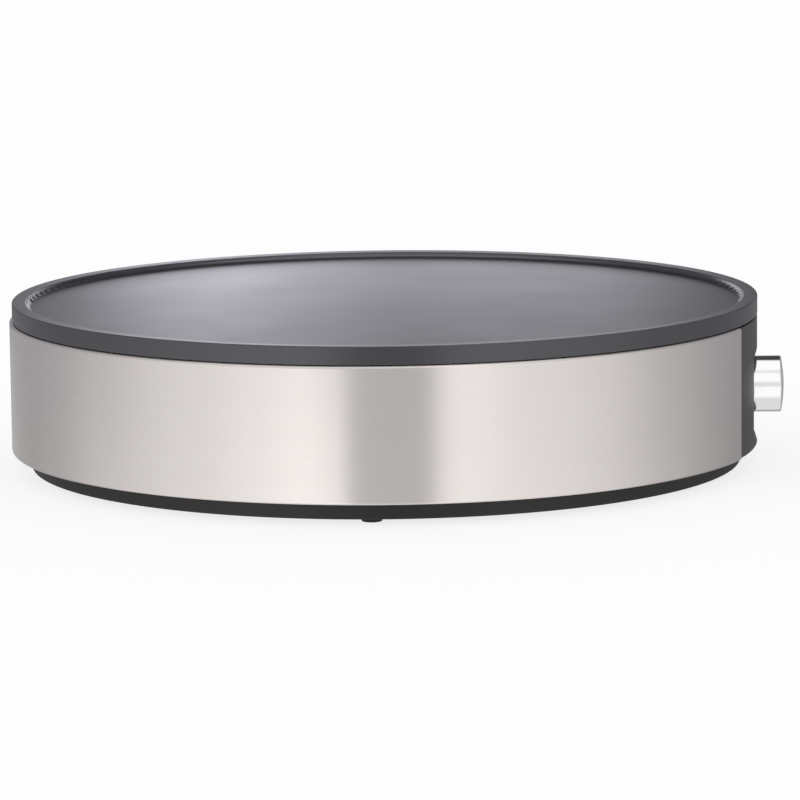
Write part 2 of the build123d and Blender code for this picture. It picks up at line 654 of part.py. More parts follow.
def make_base_pan():
    pan = turned([(0, Z_FLOOR_UNDER), (SKIRT_R - SKIRT_WALL, Z_FLOOR_UNDER),
                  (SKIRT_R - SKIRT_WALL, Z_SKIRT, SKIRT_ROUND), (SKIRT_R, Z_SKIRT, SKIRT_ROUND),
                  (SKIRT_R, Z_FLOOR), (0, Z_FLOOR)])
    rib_low = Z_FLOOR_UNDER - RIB_DEPTH
    rib_end = SKIRT_R - SKIRT_WALL - RIB_END_GAP
    rib = block(RIB_INNER_R, rib_end, -RIB_WIDTH / 2, RIB_WIDTH / 2, rib_low, Z_FLOOR_UNDER + 1)
    for index in range(RIB_COUNT):
        pan += Rot(0, 0, (index + 0.5) * 360 / RIB_COUNT) * rib
    pan += tube(RIB_INNER_R + RIB_WIDTH, RIB_INNER_R, rib_low, Z_FLOOR_UNDER + 1)
    vent = block(VENT_INNER_R, VENT_OUTER_R, -VENT_WIDTH / 2, VENT_WIDTH / 2, Z_FLOOR_UNDER - 1, Z_FLOOR + 1)
    vent = fillet(vent.edges().filter_by(Axis.Z), VENT_WIDTH / 2.1)
    for index in range(VENT_COUNT):
        pan -= Rot(0, 0, index * 360 / VENT_COUNT) * vent
    for angle in FOOT_ANGLES:
        x, y = polar(FOOT_CIRCLE_R, angle)
        socket_r = FOOT_R + FOOT_CLEARANCE
        pan += rod(socket_r + SOCKET_WALL, Z_FLOOR_UNDER - SOCKET_DROP, Z_FLOOR_UNDER + 1, x, y)
        pan -= rod(socket_r, Z_SKIRT - 1, Z_FLOOR_UNDER, x, y)
    for x, y in stud_places():
        pan += rod(POST_R, Z_FLOOR - 1, Z_POST, x, y)
        pan -= rod(STUD_R + STUD_HOLE_CLEARANCE, Z_SKIRT, Z_POST + 1, x, y)
        pan -= rod(POST_POCKET_R, Z_FLOOR_UNDER - 1, Z_POCKET, x, y)
    for x, y in bracket_screw_places():
        pan += rod(BRACKET_BOSS_R, Z_FLOOR - 1, Z_BRACKET_FOOT, x, y)
    for x, y in [*bracket_screw_places(), *block_screw_places()]:
        pan -= rod(M3[0] + THREAD_CLEARANCE, Z_FLOOR_UNDER - 1, Z_BRACKET_FOOT + 1, x, y)
    for x, y in [*band_screw_places(), *panel_base_screw_places()]:
        pan -= rod(M3[0] + HOLE_CLEARANCE, Z_FLOOR_UNDER - 1, Z_FLOOR + 1, x, y)
    return pan


def make_rubber_feet():
    foot = turned([(0, 0), (FOOT_TIP_R, 0, FOOT_ROUND), (FOOT_R, Z_SKIRT), (FOOT_R, Z_FLOOR_UNDER),
                   (0, Z_FLOOR_UNDER)])
    return group(Pos(*polar(FOOT_CIRCLE_R, angle), 0) * foot for angle in FOOT_ANGLES)


def panel_screw_plane(height):
    """Seat of a panel screw on the right-hand end lip of the band: head away from the panel."""
    angle = FRONT_ANGLE + PANEL_HALF_ANGLE
    lip_angle = degrees(BAND_T / BAND_R)
    x, y = polar(BAND_R - PANEL_SCREW_INSET, angle + lip_angle)
    normal = (-sin(radians(angle + lip_angle)), cos(radians(angle + lip_angle)), 0)
    return facing((x, y, Z_FLOOR + height), normal)


def make_steel_band():
    start = FRONT_ANGLE + PANEL_HALF_ANGLE
    inner = BAND_R - BAND_T
    inner_round = BAND_BEND_R - BAND_T
    band = turned([
        (BAND_R - BAND_BOTTOM_LIP, Z_FLOOR), (BAND_R, Z_FLOOR, BAND_BEND_R),
        (BAND_R, Z_BAND_TOP, BAND_BEND_R), (BAND_R - BAND_TOP_LIP, Z_BAND_TOP),
        (BAND_R - BAND_TOP_LIP, Z_BAND_TOP - BAND_T), (inner, Z_BAND_TOP - BAND_T, inner_round),
        (inner, Z_FLOOR + BAND_T, inner_round), (BAND_R - BAND_BOTTOM_LIP, Z_FLOOR + BAND_T),
    ], start, 360 - 2 * PANEL_HALF_ANGLE)
    lip_angle = degrees(BAND_T / BAND_R)
    lip = [(BAND_R - BAND_END_LIP, Z_FLOOR), (BAND_R, Z_FLOOR, BAND_BEND_R),
           (BAND_R, Z_BAND_TOP, BAND_BEND_R), (BAND_R - BAND_END_LIP, Z_BAND_TOP)]
    end_lip = turned(lip, start, lip_angle)
    for height in PANEL_SCREW_HEIGHTS:
        end_lip -= drilled(panel_screw_plane(height), M3[0] + HOLE_CLEARANCE, 2 * BAND_T)
    band += end_lip
    band += mirror(end_lip, Plane.YZ)
    for x, y in band_screw_places():
        band -= rod(M3[0] + THREAD_CLEARANCE, Z_FLOOR - 1, Z_FLOOR + 2 * BAND_T, x, y)
    band -= drilled(GLAND, GLAND_BODY_R + GLAND_CLEARANCE, 4 * BAND_T)
    return band


def make_base_screws():
    places = [*band_screw_places(), *panel_base_screw_places()]
    return group(upward_screw(M3, BASE_SCREW_LENGTH, x, y, Z_FLOOR_UNDER) for x, y in places)


def dial_recess():
    """Wedge-ended cutter that leaves the flat face around the knob."""
    low, high = Z_FLOOR + DIAL_FLAT_LOW, Z_FLOOR + DIAL_FLAT_HIGH
    reach = 2.0
    stretch = (DIAL_FLAT_DEPTH + reach) / DIAL_FLAT_DEPTH
    outer_y = -(PANEL_R + reach)
    corners = [(FLAT_Y, low), (FLAT_Y, high), (outer_y, high + DIAL_FLAT_HIGH_SLOPE * stretch),
               (outer_y, low - DIAL_FLAT_LOW_SLOPE * stretch)]
    return extrude(Plane.YZ * make_face(Polyline(*corners, close=True)), PANEL_R / 2, both=True)


def make_control_panel():
    start, arc = FRONT_ANGLE - PANEL_HALF_ANGLE, 2 * PANEL_HALF_ANGLE
    top = Z_BAND_TOP - PANEL_TOP_DROP
    inner = PANEL_R - PANEL_WALL
    deck_inner = BAND_R - BAND_BOTTOM_LIP
    end_inner = BAND_R - BAND_END_LIP
    panel = turned([
        (deck_inner, Z_FLOOR), (PANEL_R, Z_FLOOR, PANEL_EDGE_ROUND), (PANEL_R, top, PANEL_EDGE_ROUND),
        (end_inner, top), (end_inner, top - PANEL_DECK_T), (inner, top - PANEL_DECK_T),
        (inner, Z_FLOOR + PANEL_DECK_T), (deck_inner, Z_FLOOR + PANEL_DECK_T),
    ], start, arc)
    wall = [(end_inner, Z_FLOOR), (PANEL_R, Z_FLOOR, PANEL_EDGE_ROUND), (PANEL_R, top, PANEL_EDGE_ROUND),
            (end_inner, top)]
    wall_arc = degrees(PANEL_END_WALL / PANEL_R)
    panel += turned(wall, start, wall_arc)
    panel += turned(wall, start + arc - wall_arc, wall_arc)
    backing = block(-DIAL_BLOCK_HALF_WIDTH, DIAL_BLOCK_HALF_WIDTH, -PANEL_R, PANEL_INNER_Y,
                    Z_FLOOR + PANEL_DECK_T / 2, Z_FLOOR + DIAL_FLAT_HIGH + DIAL_BLOCK_MARGIN)
    panel += backing & rod(PANEL_R - PANEL_WALL / 2, Z_FLOOR, Z_BAND_TOP)
    boss_root, boss_top = Z_FLOOR + PANEL_DECK_T / 2, Z_FLOOR + PANEL_DECK_T + PANEL_BOSS_HEIGHT
    for x, y in panel_base_screw_places():
        panel += rod(PANEL_BOSS_R, boss_root, boss_top, x, y)
    panel -= dial_recess()
    panel -= drilled(DIAL, SPINDLE_HOLE_R, 2 * PANEL_WALL)
    for side in (-1, 1):
        panel -= DIAL * rod(LENS_R + LENS_CLEARANCE, -2 * PANEL_WALL, 1, side * LAMP_OFFSET)
    for x, y in panel_base_screw_places():
        panel -= rod(M3[0] + THREAD_CLEARANCE, Z_FLOOR - 1, Z_FLOOR_UNDER + BASE_SCREW_LENGTH + 0.5, x, y)
    for height in PANEL_SCREW_HEIGHTS:
        hole = drilled(panel_screw_plane(height), M3[0] + THREAD_CLEARANCE, PANEL_SCREW_GRIP + BAND_T)
        panel -= hole
        panel -= mirror(hole, Plane.YZ)
    return panel


def make_panel_screws():
    right = [panel_screw_plane(height) * screw(M3, PANEL_SCREW_GRIP) for height in PANEL_SCREW_HEIGHTS]
    return group(right + [mirror(one, Plane.YZ) for one in right])


def make_cord_gland():
    body = turned([(GLAND_BORE_R, -GLAND_NOSE), (GLAND_BODY_R, -GLAND_NOSE, 0.5),
                   (GLAND_BODY_R, GLAND_SEAT_GAP), (GLAND_FLANGE_R, GLAND_SEAT_GAP),
                   (GLAND_FLANGE_R, GLAND_FLANGE_T, 1.0), (GLAND_BORE_R, GLAND_FLANGE_T, 0.8)])
    return GLAND * body


def make_gland_nut():
    corner_r = GLAND_NUT_FLATS / sqrt(3)
    high = sqrt((BAND_R - BAND_T) ** 2 - corner_r ** 2) - BAND_R - GLAND_NUT_CLEARANCE
    return GLAND * hex_nut(GLAND_NUT_FLATS, GLAND_BODY_R + THREAD_CLEARANCE, high - GLAND_NUT_T, high)


# ---------------------------------------------------------------- knob, thermostat and lamps
def knob_body():
    """The knob's full outer form, in the dial plane: a cylinder with a shallow dome."""
    rim = KNOB_GAP + KNOB_LENGTH
    dome_r = (KNOB_R ** 2 + KNOB_DOME ** 2) / (2 * KNOB_DOME)
    half_turn = asin(KNOB_R / dome_r) / 2
    halfway = (dome_r * sin(half_turn), rim + KNOB_DOME - dome_r * (1 - cos(half_turn)))
    sides = Polyline((0, rim + KNOB_DOME), (0, KNOB_GAP), (KNOB_R, KNOB_GAP), (KNOB_R, rim))
    dome = ThreePointArc((KNOB_R, rim), halfway, (0, rim + KNOB_DOME))
    outline = make_face(sides.edges() + dome.edges())
    corner = outline.vertices().sort_by(lambda v: v.X + v.Y)[-1]
    return revolve(Plane.XZ * fillet(corner, KNOB_EDGE_ROUND), Axis.Z)


def pointer_slot():
    rim = KNOB_GAP + KNOB_LENGTH
    half = POINTER_WIDTH / 2
    slot = block(-half, half, POINTER_START, POINTER_END, rim - POINTER_DEPTH, rim + 2 * KNOB_DOME)
    return Rot(0, 0, -KNOB_REST_ANGLE) * slot


def d_section(radius, flat, low, high):
    return rod(radius, low, high) - block(-radius, radius, flat, radius + 1, low - 1, high + 1)


def make_knob():
    face = KNOB_GAP + KNOB_LENGTH - KNOB_FACE_T
    knob = knob_body() - pointer_slot()
    knob -= tube(KNOB_R - KNOB_WALL, HUB_R, KNOB_GAP - 1, face)
    knob -= rod(KNOB_R - KNOB_WALL, 0, KNOB_GAP + HUB_SETBACK)
    bore_end = KNOB_GAP + SPINDLE_ENGAGEMENT + 0.2
    clearance = RUNNING_CLEARANCE
    knob -= d_section(SPINDLE_R + clearance, SPINDLE_FLAT + clearance, 0, bore_end)
    return DIAL * knob


def make_knob_pointer():
    return DIAL * (knob_body() & pointer_slot())


def make_knob_clip():
    outer = HUB_R + RUNNING_CLEARANCE + CLIP_T
    low = KNOB_GAP + HUB_SETBACK + 1.0
    ring = tube(outer, HUB_R + RUNNING_CLEARANCE, low, low + CLIP_WIDTH)
    return DIAL * (ring - block(-CLIP_GAP / 2, CLIP_GAP / 2, 0, outer + 1, low - 1, low + CLIP_WIDTH + 1))


def make_thermostat_spindle():
    tip = KNOB_GAP + SPINDLE_ENGAGEMENT
    root = -THERMOSTAT_SETBACK - SPINDLE_DEPTH + 0.3
    spindle = d_section(SPINDLE_R, SPINDLE_FLAT, tip - SPINDLE_FLAT_LENGTH, tip)
    return DIAL * (spindle + rod(SPINDLE_R, root, tip - SPINDLE_FLAT_LENGTH))


def make_thermostat_body():
    body = block(-THERMOSTAT_HALF_WIDTH, THERMOSTAT_HALF_WIDTH, THERMOSTAT_FRONT_Y, THERMOSTAT_BACK_Y,
                 Z_KNOB - THERMOSTAT_BELOW, Z_KNOB + THERMOSTAT_ABOVE)
    body = fillet(body.edges().filter_by(Axis.Y), THERMOSTAT_ROUND)
    front = -THERMOSTAT_SETBACK
    body += DIAL * rod(BUSHING_R, front - 1, front + BUSHING_LENGTH)
    body -= DIAL * rod(SPINDLE_R + RUNNING_CLEARANCE, front - SPINDLE_DEPTH, 0)
    for plane in thermostat_screw_planes():
        body -= drilled(plane, M3[0] + THREAD_CLEARANCE, THERMOSTAT_SCREW_LENGTH + 0.3)
    return body


def thermostat_screw_planes():
    for side in (-1, 1):
        yield facing((side * THERMOSTAT_SCREW_X, BRACKET_FRONT_Y, Z_KNOB), (0, -1, 0))


def make_thermostat_screws():
    return group(plane * screw(M3, THERMOSTAT_SCREW_LENGTH) for plane in thermostat_screw_planes())


def make_thermostat_bracket():
    wide = BRACKET_HALF_WIDTH
    top = Z_KNOB + THERMOSTAT_ABOVE + BRACKET_TOP_MARGIN
    bracket = block(-wide, wide, BRACKET_FRONT_Y, THERMOSTAT_FRONT_Y, Z_BRACKET_FOOT, top)
    bracket += block(-wide, wide, BRACKET_FRONT_Y, BRACKET_BACK_Y, Z_BRACKET_FOOT, Z_BRACKET_FOOT + BRACKET_T)
    bracket -= DIAL * rod(BUSHING_R + BRACKET_CLEARANCE, -2 * THERMOSTAT_SETBACK, 0)
    for plane in thermostat_screw_planes():
        bracket -= drilled(plane, M3[0] + HOLE_CLEARANCE, 2 * BRACKET_T)
    for x, y in bracket_screw_places():
        bracket -= rod(M3[0] + HOLE_CLEARANCE, Z_FLOOR, Z_BRACKET_FOOT + 2 * BRACKET_T, x, y)
    return bracket


def make_bracket_screws():
    length = BRACKET_T + BRACKET_BOSS_HEIGHT + FLOOR_T / 2
    seat = Z_BRACKET_FOOT + BRACKET_T
    return group(facing((x, y, seat), (0, 0, 1)) * screw(M3, length) for x, y in bracket_screw_places())


def make_thermostat_tabs():
    rear = [block(side * TAB_X - TAB_WIDTH / 2, side * TAB_X + TAB_WIDTH / 2, THERMOSTAT_BACK_Y,
                  THERMOSTAT_BACK_Y + TAB_LENGTH, Z_TAB - TAB_T / 2, Z_TAB + TAB_T / 2) for side in (-1, 1)]
    edge = THERMOSTAT_HALF_WIDTH
    tab = block(edge, edge + SIDE_TAB_LENGTH, SIDE_TAB_Y - TAB_WIDTH / 2, SIDE_TAB_Y + TAB_WIDTH / 2,
                Z_SIDE_TAB - TAB_T, Z_SIDE_TAB)
    return group([*rear, tab, mirror(tab, Plane.YZ)])


def make_push_on_connectors():
    half = TAB_WIDTH / 2 + CONNECTOR_WALL
    front = THERMOSTAT_BACK_Y + TAB_LENGTH - CONNECTOR_BITE
    slot_w, slot_t = TAB_WIDTH / 2 + CONNECTOR_CLEARANCE, TAB_T / 2 + CONNECTOR_CLEARANCE
    shell_t = TAB_T / 2 + CONNECTOR_WALL
    shell = block(-half, half, front, front + CONNECTOR_LENGTH, -shell_t, shell_t)
    shell -= block(-slot_w, slot_w, front - 1, front + CONNECTOR_BITE, -slot_t, slot_t)
    return group(Pos(side * TAB_X, 0, Z_TAB) * shell for side in (-1, 1))


def make_lamp_lens(side):
    flange = -PANEL_WALL - LENS_FLANGE_T
    lens = turned([(0, flange), (LENS_FLANGE_R, flange), (LENS_FLANGE_R, -PANEL_WALL),
                   (LENS_R, -PANEL_WALL), (LENS_R, LENS_PROUD, LENS_PROUD), (0, LENS_PROUD)])
    return DIAL * Pos(side * LAMP_OFFSET, 0, 0) * lens


def make_lamp_holders():
    high = -PANEL_WALL - LENS_FLANGE_T
    return group(DIAL * rod(HOLDER_R, high - HOLDER_LENGTH, high, side * LAMP_OFFSET) for side in (-1, 1))


# ---------------------------------------------------------------- terminal block and wires
def pole_x(index):
    return BLOCK_CENTRE[0] + (index - 1) * POLE_PITCH


BLOCK_FRONT_Y = BLOCK_CENTRE[1] - BLOCK_WIDTH / 2
POLE_END_Y = BLOCK_FRONT_Y + POLE_HOLE_DEPTH
Z_POLE = Z_FLOOR + POLE_ABOVE_FLOOR
Z_BLOCK = Z_FLOOR + BLOCK_HEIGHT


def pole_screw_places():
    for index in range(3):
        for side in (-1, 1):
            yield pole_x(index), BLOCK_CENTRE[1] + side * POLE_SCREW_OFFSET


def make_terminal_block():
    x, y = BLOCK_CENTRE
    body = block(x - BLOCK_LENGTH / 2, x + BLOCK_LENGTH / 2, y - BLOCK_WIDTH / 2, y + BLOCK_WIDTH / 2,
                 Z_FLOOR, Z_BLOCK)
    body = fillet(body.edges().filter_by(Axis.Z), BLOCK_ROUND)
    for index in range(3):
        for side in (-1, 1):
            mouth = facing((pole_x(index), y + side * BLOCK_WIDTH / 2, Z_POLE), (0, side, 0))
            body -= drilled(mouth, POLE_HOLE_R, POLE_HOLE_DEPTH)
    for px, py in pole_screw_places():
        body -= rod(M3[1] + THREAD_CLEARANCE, Z_BLOCK - POLE_SCREW_DEPTH, Z_BLOCK + 1, px, py)
    for px, py in block_screw_places():
        body -= rod(M3[0] + HOLE_CLEARANCE, Z_FLOOR - 1, Z_BLOCK + 1, px, py)
    return body


def make_terminal_screws():
    low = Z_BLOCK - POLE_SCREW_DEPTH
    high = low + M3[2]
    slot = block(-M3[1], M3[1], -0.4, 0.4, high - 0.9, high + 1)
    return group(Pos(x, y, 0) * (rod(M3[1], low, high) - slot) for x, y in pole_screw_places())


def make_block_screws():
    length = BLOCK_HEIGHT + FLOOR_T / 2
    return group(facing((x, y, Z_BLOCK), (0, 0, 1)) * screw(M3, length) for x, y in block_screw_places())


def make_splice():
    barrel = Cylinder(SPLICE_R, 2 * SPLICE_HALF_LENGTH, rotation=(0, 90, 0))
    return Pos(0, SPLICE_Y, Z_SPLICE) * barrel


NEUTRAL_X, LIVE_X, EARTH_X = pole_x(0), pole_x(1), pole_x(2)
PAIR_LEFT_X, PAIR_RIGHT_X = NEUTRAL_X - PAIR_OFFSET, NEUTRAL_X + PAIR_OFFSET
FUSE_X, FUSE_Y = FUSE_CENTRE
HOLE_X, HOLE_Y = WIRE_HOLE
TAG_X, TAG_Y = EARTH_POINT
Z_TAIL = Z_PLATE - EARTH_BOSS_DROP - TAG_T - WIRE_R - CONTACT_CLEARANCE
PIN_X, PIN_Y = pin_place(-1)
Z_PIN = Z_TUBE_END - PIN_LENGTH

WIRE_ROUTES = {
    "wire_supply_live": [
        (LIVE_X, POLE_END_Y, Z_POLE), (LIVE_X, BLOCK_FRONT_Y - 12, Z_POLE), (LIVE_X - 1, 70, Z_WIRE),
        (LIVE_X, 0, Z_WIRE), (45, CONNECTOR_BACK_Y + 57, Z_WIRE + 1), (20, CONNECTOR_BACK_Y + 29, Z_TAB),
        (TAB_X, CONNECTOR_BACK_Y + 15, Z_TAB), (TAB_X, CONNECTOR_BACK_Y, Z_TAB),
    ],
    "wire_heater_live": [
        (-TAB_X, CONNECTOR_BACK_Y, Z_TAB), (-TAB_X, CONNECTOR_BACK_Y + 17, Z_TAB),
        (-15, CONNECTOR_BACK_Y + 37, Z_WIRE + 5), (-12, -20, Z_WIRE), (8, 36, Z_WIRE),
        (HOLE_X - 12, HOLE_Y - 4, Z_REFLECTOR - 28), (HOLE_X - 7, HOLE_Y + 1, Z_REFLECTOR - 14),
        (HOLE_X - 7, HOLE_Y, Z_REFLECTOR + 6), (FUSE_X - 15, FUSE_Y + 12, Z_FUSE - 3),
        (FUSE_X - 17, FUSE_Y, Z_FUSE), (FUSE_X - FUSE_LENGTH / 2, FUSE_Y, Z_FUSE),
    ],
    "wire_fuse_link": [
        (FUSE_X + FUSE_LENGTH / 2, FUSE_Y, Z_FUSE), (FUSE_X + 16, FUSE_Y, Z_FUSE),
        (FUSE_X + 15, FUSE_Y + 14, Z_FUSE - 4), (HOLE_X, HOLE_Y, Z_REFLECTOR + 5),
        (HOLE_X - 1, HOLE_Y + 2, Z_REFLECTOR - 12), (PIN_X + 14, PIN_Y - 9, Z_PIN - 13),
        (PIN_X, PIN_Y, Z_PIN - 14), (PIN_X, PIN_Y, Z_PIN),
    ],
    "wire_neutral": [
        (PAIR_LEFT_X, POLE_END_Y, Z_POLE), (PAIR_LEFT_X, BLOCK_FRONT_Y - 10, Z_POLE),
        (PIN_X + 23, BLOCK_FRONT_Y - 22, Z_WIRE), (4, BLOCK_FRONT_Y - 26, Z_WIRE),
        (-PIN_X, PIN_Y - 8, Z_WIRE + 3.5), (-PIN_X, PIN_Y, Z_PIN - 15), (-PIN_X, PIN_Y, Z_PIN),
    ],
    "wire_earth": [
        (EARTH_X, POLE_END_Y, Z_POLE), (EARTH_X, BLOCK_FRONT_Y - 10, Z_POLE),
        (EARTH_X - 5, BLOCK_FRONT_Y - 24, Z_POLE + 5), (HOLE_X + 6, HOLE_Y - 2, Z_REFLECTOR - 14),
        (HOLE_X + 5, HOLE_Y - 4, Z_REFLECTOR + 5), (TAG_X - 2, TAG_Y + 19, Z_TAIL - 1),
        (TAG_X, TAG_Y + 12, Z_TAIL), (TAG_X, TAG_Y + 6, Z_TAIL),
    ],
    "wire_lamp_neutral": [
        (PAIR_RIGHT_X, POLE_END_Y, Z_POLE), (PAIR_RIGHT_X, BLOCK_FRONT_Y - 12, Z_POLE),
        (PAIR_RIGHT_X + 2, 74, Z_WIRE), (PAIR_RIGHT_X + 3, 0, Z_WIRE), (36, SPLICE_Y + 28, Z_WIRE),
        (24, SPLICE_Y + SPLICE_PITCH, Z_SPLICE), (SPLICE_HALF_LENGTH, SPLICE_Y + SPLICE_PITCH, Z_SPLICE),
    ],
}


def make_lamp_leads():
    """For each lamp, one lead to the thermostat's side tab and one to the splice."""
    leads = []
    upper, lower = Z_KNOB + LEAD_SPREAD, Z_KNOB - LEAD_SPREAD
    for side in (-1, 1):
        x = side * LAMP_OFFSET
        leads.append(wire([(x, HOLDER_BACK_Y, upper), (x, SIDE_TAB_Y, upper), (x, SIDE_TAB_Y, Z_SIDE_TAB)],
                          LEAD_R))
        splice_y = SPLICE_Y - (side + 1) / 2 * SPLICE_PITCH
        leads.append(wire([
            (x, HOLDER_BACK_Y, lower), (x, HOLDER_BACK_Y + 7, lower),
            (side * 30, HOLDER_BACK_Y + 18, Z_SIDE_TAB - 3), (side * 30, HOLDER_BACK_Y + 30, Z_SPLICE + 3),
            (side * 22, splice_y, Z_SPLICE),
            (side * SPLICE_HALF_LENGTH, splice_y, Z_SPLICE),
        ], LEAD_R))
    return group(leads)


# ---------------------------------------------------------------- export
NODES = {
    "hot_plate": make_hot_plate(),
    "heating_element": make_heating_element(),
    "element_seals": make_element_seals(),
    "element_pins": make_element_pins(),
    "element_clamps": make_element_clamps(),
    "clamp_screws": make_clamp_screws(),
    "plate_studs": make_plate_studs(),
    "stud_insulators": make_stud_insulators(),
    "stud_spacers": make_stud_spacers(),
    "stud_washers": make_stud_washers(),
    "stud_nuts": make_stud_nuts(),
    "heat_reflector": make_heat_reflector(),
    "sensor_bulb": make_sensor_bulb(),
    "capillary_tube": wire(CAPILLARY_ROUTE, CAPILLARY_R),
    "bulb_clip": saddle_clip(BULB_R, 0, BULB_CLIP_CENTRE, Z_BULB),
    "bulb_clip_screws": make_clip_screws(BULB_CLIP_CENTRE, 0, Z_BULB),
    "thermal_fuse": make_thermal_fuse(),
    "fuse_clip": saddle_clip(FUSE_R, 90, FUSE_CENTRE, Z_FUSE),
    "fuse_clip_screws": make_clip_screws(FUSE_CENTRE, 90, Z_FUSE),
    "earth_tag": make_earth_tag(),
    "earth_screw": make_earth_screw(),
    "base_pan": make_base_pan(),
    "rubber_feet": make_rubber_feet(),
    "steel_band": make_steel_band(),
    "base_screws": make_base_screws(),
    "control_panel": make_control_panel(),
    "panel_screws": make_panel_screws(),
    "cord_gland": make_cord_gland(),
    "gland_nut": make_gland_nut(),
    "knob": make_knob(),
    "knob_pointer": make_knob_pointer(),
    "knob_clip": make_knob_clip(),
    "thermostat_spindle": make_thermostat_spindle(),
    "thermostat_body": make_thermostat_body(),
    "thermostat_bracket": make_thermostat_bracket(),
    "thermostat_screws": make_thermostat_screws(),
    "bracket_screws": make_bracket_screws(),
    "thermostat_tabs": make_thermostat_tabs(),
    "push_on_connectors": make_push_on_connectors(),
    "power_lamp_lens": make_lamp_lens(-1),
    "ready_lamp_lens": make_lamp_lens(1),
    "lamp_holders": make_lamp_holders(),
    "terminal_block": make_terminal_block(),
    "terminal_screws": make_terminal_screws(),
    "block_screws": make_block_screws(),
    "splice": make_splice(),
    "lamp_leads": make_lamp_leads(),
}
NODES.update((name, wire(route)) for name, route in WIRE_ROUTES.items())

os.makedirs("parts", exist_ok=True)
for name, shape in NODES.items():
    export_step(shape, f"parts/{name}.step")
print(len(NODES), "nodes")
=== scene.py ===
# %% [markdown]
# # Dressing a crepe maker in Blender
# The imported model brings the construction: every piece at its real size and place. This lesson adds
# what the construction leaves out: the finish of each surface, the printed dial and the studio that
# lights it all. A piece whose shape is already right keeps its mesh and only gets a material.

from math import cos, pi, radians, sin

import bmesh
import bpy
from mathutils import Matrix, Vector


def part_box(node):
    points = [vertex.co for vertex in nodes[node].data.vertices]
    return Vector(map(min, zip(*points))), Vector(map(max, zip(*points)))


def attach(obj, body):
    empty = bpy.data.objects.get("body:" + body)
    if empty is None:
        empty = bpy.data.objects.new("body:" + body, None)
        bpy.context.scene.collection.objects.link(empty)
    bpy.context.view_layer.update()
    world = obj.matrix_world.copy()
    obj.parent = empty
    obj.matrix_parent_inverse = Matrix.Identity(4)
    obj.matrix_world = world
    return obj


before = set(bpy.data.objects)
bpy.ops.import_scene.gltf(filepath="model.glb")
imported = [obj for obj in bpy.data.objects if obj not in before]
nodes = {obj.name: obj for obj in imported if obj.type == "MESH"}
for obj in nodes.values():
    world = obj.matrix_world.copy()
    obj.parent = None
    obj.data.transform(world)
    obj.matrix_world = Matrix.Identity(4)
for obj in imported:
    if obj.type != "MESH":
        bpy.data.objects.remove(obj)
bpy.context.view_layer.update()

# %% [markdown]
# ## Where the knob is
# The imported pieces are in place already. Only the dial is added, round the axis of the knob, so the
# middle of the knob's box is the one place that has to be measured.

# %% Measure the knob
MM = 0.001

knob_low, knob_high = (Vector(corner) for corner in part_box("knob"))
knob_mid = (knob_low + knob_high) / 2
print("middle of the knob in mm:", [round(v / MM, 1) for v in knob_mid])

# %% [markdown]
# ## A camera with a long lens
# The picture is taken from a little above the plate's edge, from about two metres away, so the round
# plate shows as a flat ellipse. A long lens on a small frame gives that view. The camera is aimed at
# the middle of the housing and then panned and rolled by a trace.

# %% Camera
CAMERA_DISTANCE = 2.275
CAMERA_ELEVATION = 8.65
CAMERA_AZIMUTH = -177.6         # direction from the housing to the camera
CAMERA_ROLL = -0.67
CAMERA_PAN = 0.17
AIM_HEIGHT = 0.02963
SENSOR_WIDTH = 36.0
PICTURE_WIDTH = 800             # in pixels
FOCAL_PIXELS = 4818
LENS = FOCAL_PIXELS / PICTURE_WIDTH * SENSOR_WIDTH


def direction(azimuth, elevation=0.0):
    """Unit vector that points out from the housing."""
    level = cos(radians(elevation))
    turn = radians(azimuth)
    return Vector((level * cos(turn), level * sin(turn), sin(radians(elevation))))


def make_camera():
    aim = Vector((0, 0, AIM_HEIGHT))
    place = aim + direction(CAMERA_AZIMUTH, CAMERA_ELEVATION) * CAMERA_DISTANCE
    camera = bpy.data.objects.new("camera", bpy.data.cameras.new("camera"))
    bpy.context.collection.objects.link(camera)
    camera.data.lens = LENS
    camera.data.sensor_width = SENSOR_WIDTH
    camera.data.clip_start = 0.05
    camera.data.clip_end = 50
    straight = (aim - place).to_track_quat("-Z", "Y").to_matrix().to_4x4()
    pan = Matrix.Rotation(radians(-CAMERA_PAN), 4, "Y")
    roll = Matrix.Rotation(radians(CAMERA_ROLL), 4, "Z")
    camera.matrix_world = Matrix.Translation(place) @ (straight @ pan) @ roll
    bpy.context.scene.camera = camera
    print("camera at", [round(v, 3) for v in place])


make_camera()

# %% [markdown]
# ## Shader maths as plain expressions
# A brushed or moulded surface is a sum of small variations, and node maths is easiest to read as
# arithmetic. The class below wraps one socket of a node tree, so that `grain * 0.2 + 0.4` adds the
# Math nodes by itself. Anything else, such as a noise, comes from one method that sets a node's
# options first and its sockets after that.

# %% A socket that does arithmetic
class Socket:
    def __init__(self, tree, link):
        self.tree = tree
        self.link = link

    def math(self, operation, first, second):
        """Add one Math node."""
        node = self.tree.nodes.new("ShaderNodeMath")
        node.operation = operation
        for socket, value in zip(node.inputs, (first, second)):
            put(self.tree, socket, value)
        return Socket(self.tree, node.outputs[0])

    def __add__(self, other):
        return self.math("ADD", self, other)

    def __radd__(self, other):
        return self.math("ADD", other, self)

    def __sub__(self, other):
        return self.math("SUBTRACT", self, other)

    def __rsub__(self, other):
        return self.math("SUBTRACT", other, self)

    def __mul__(self, other):
        return self.math("MULTIPLY", self, other)

    def __rmul__(self, other):
        return self.math("MULTIPLY", other, self)

    def __truediv__(self, other):
        return self.math("DIVIDE", self, other)

    def sine(self):
        return self.math("SINE", self, 0.0)

    def root(self):
        return self.math("SQRT", self, 0.0)

    def turn_from(self, along):
        """Angle of a direction with this part across and the other part along."""
        return self.math("ARCTAN2", self, along)

    def at_most(self, limit):
        return self.math("MINIMUM", self, limit)

    def clamp(self):
        return self.math("MAXIMUM", self, 0.0).at_most(1.0)


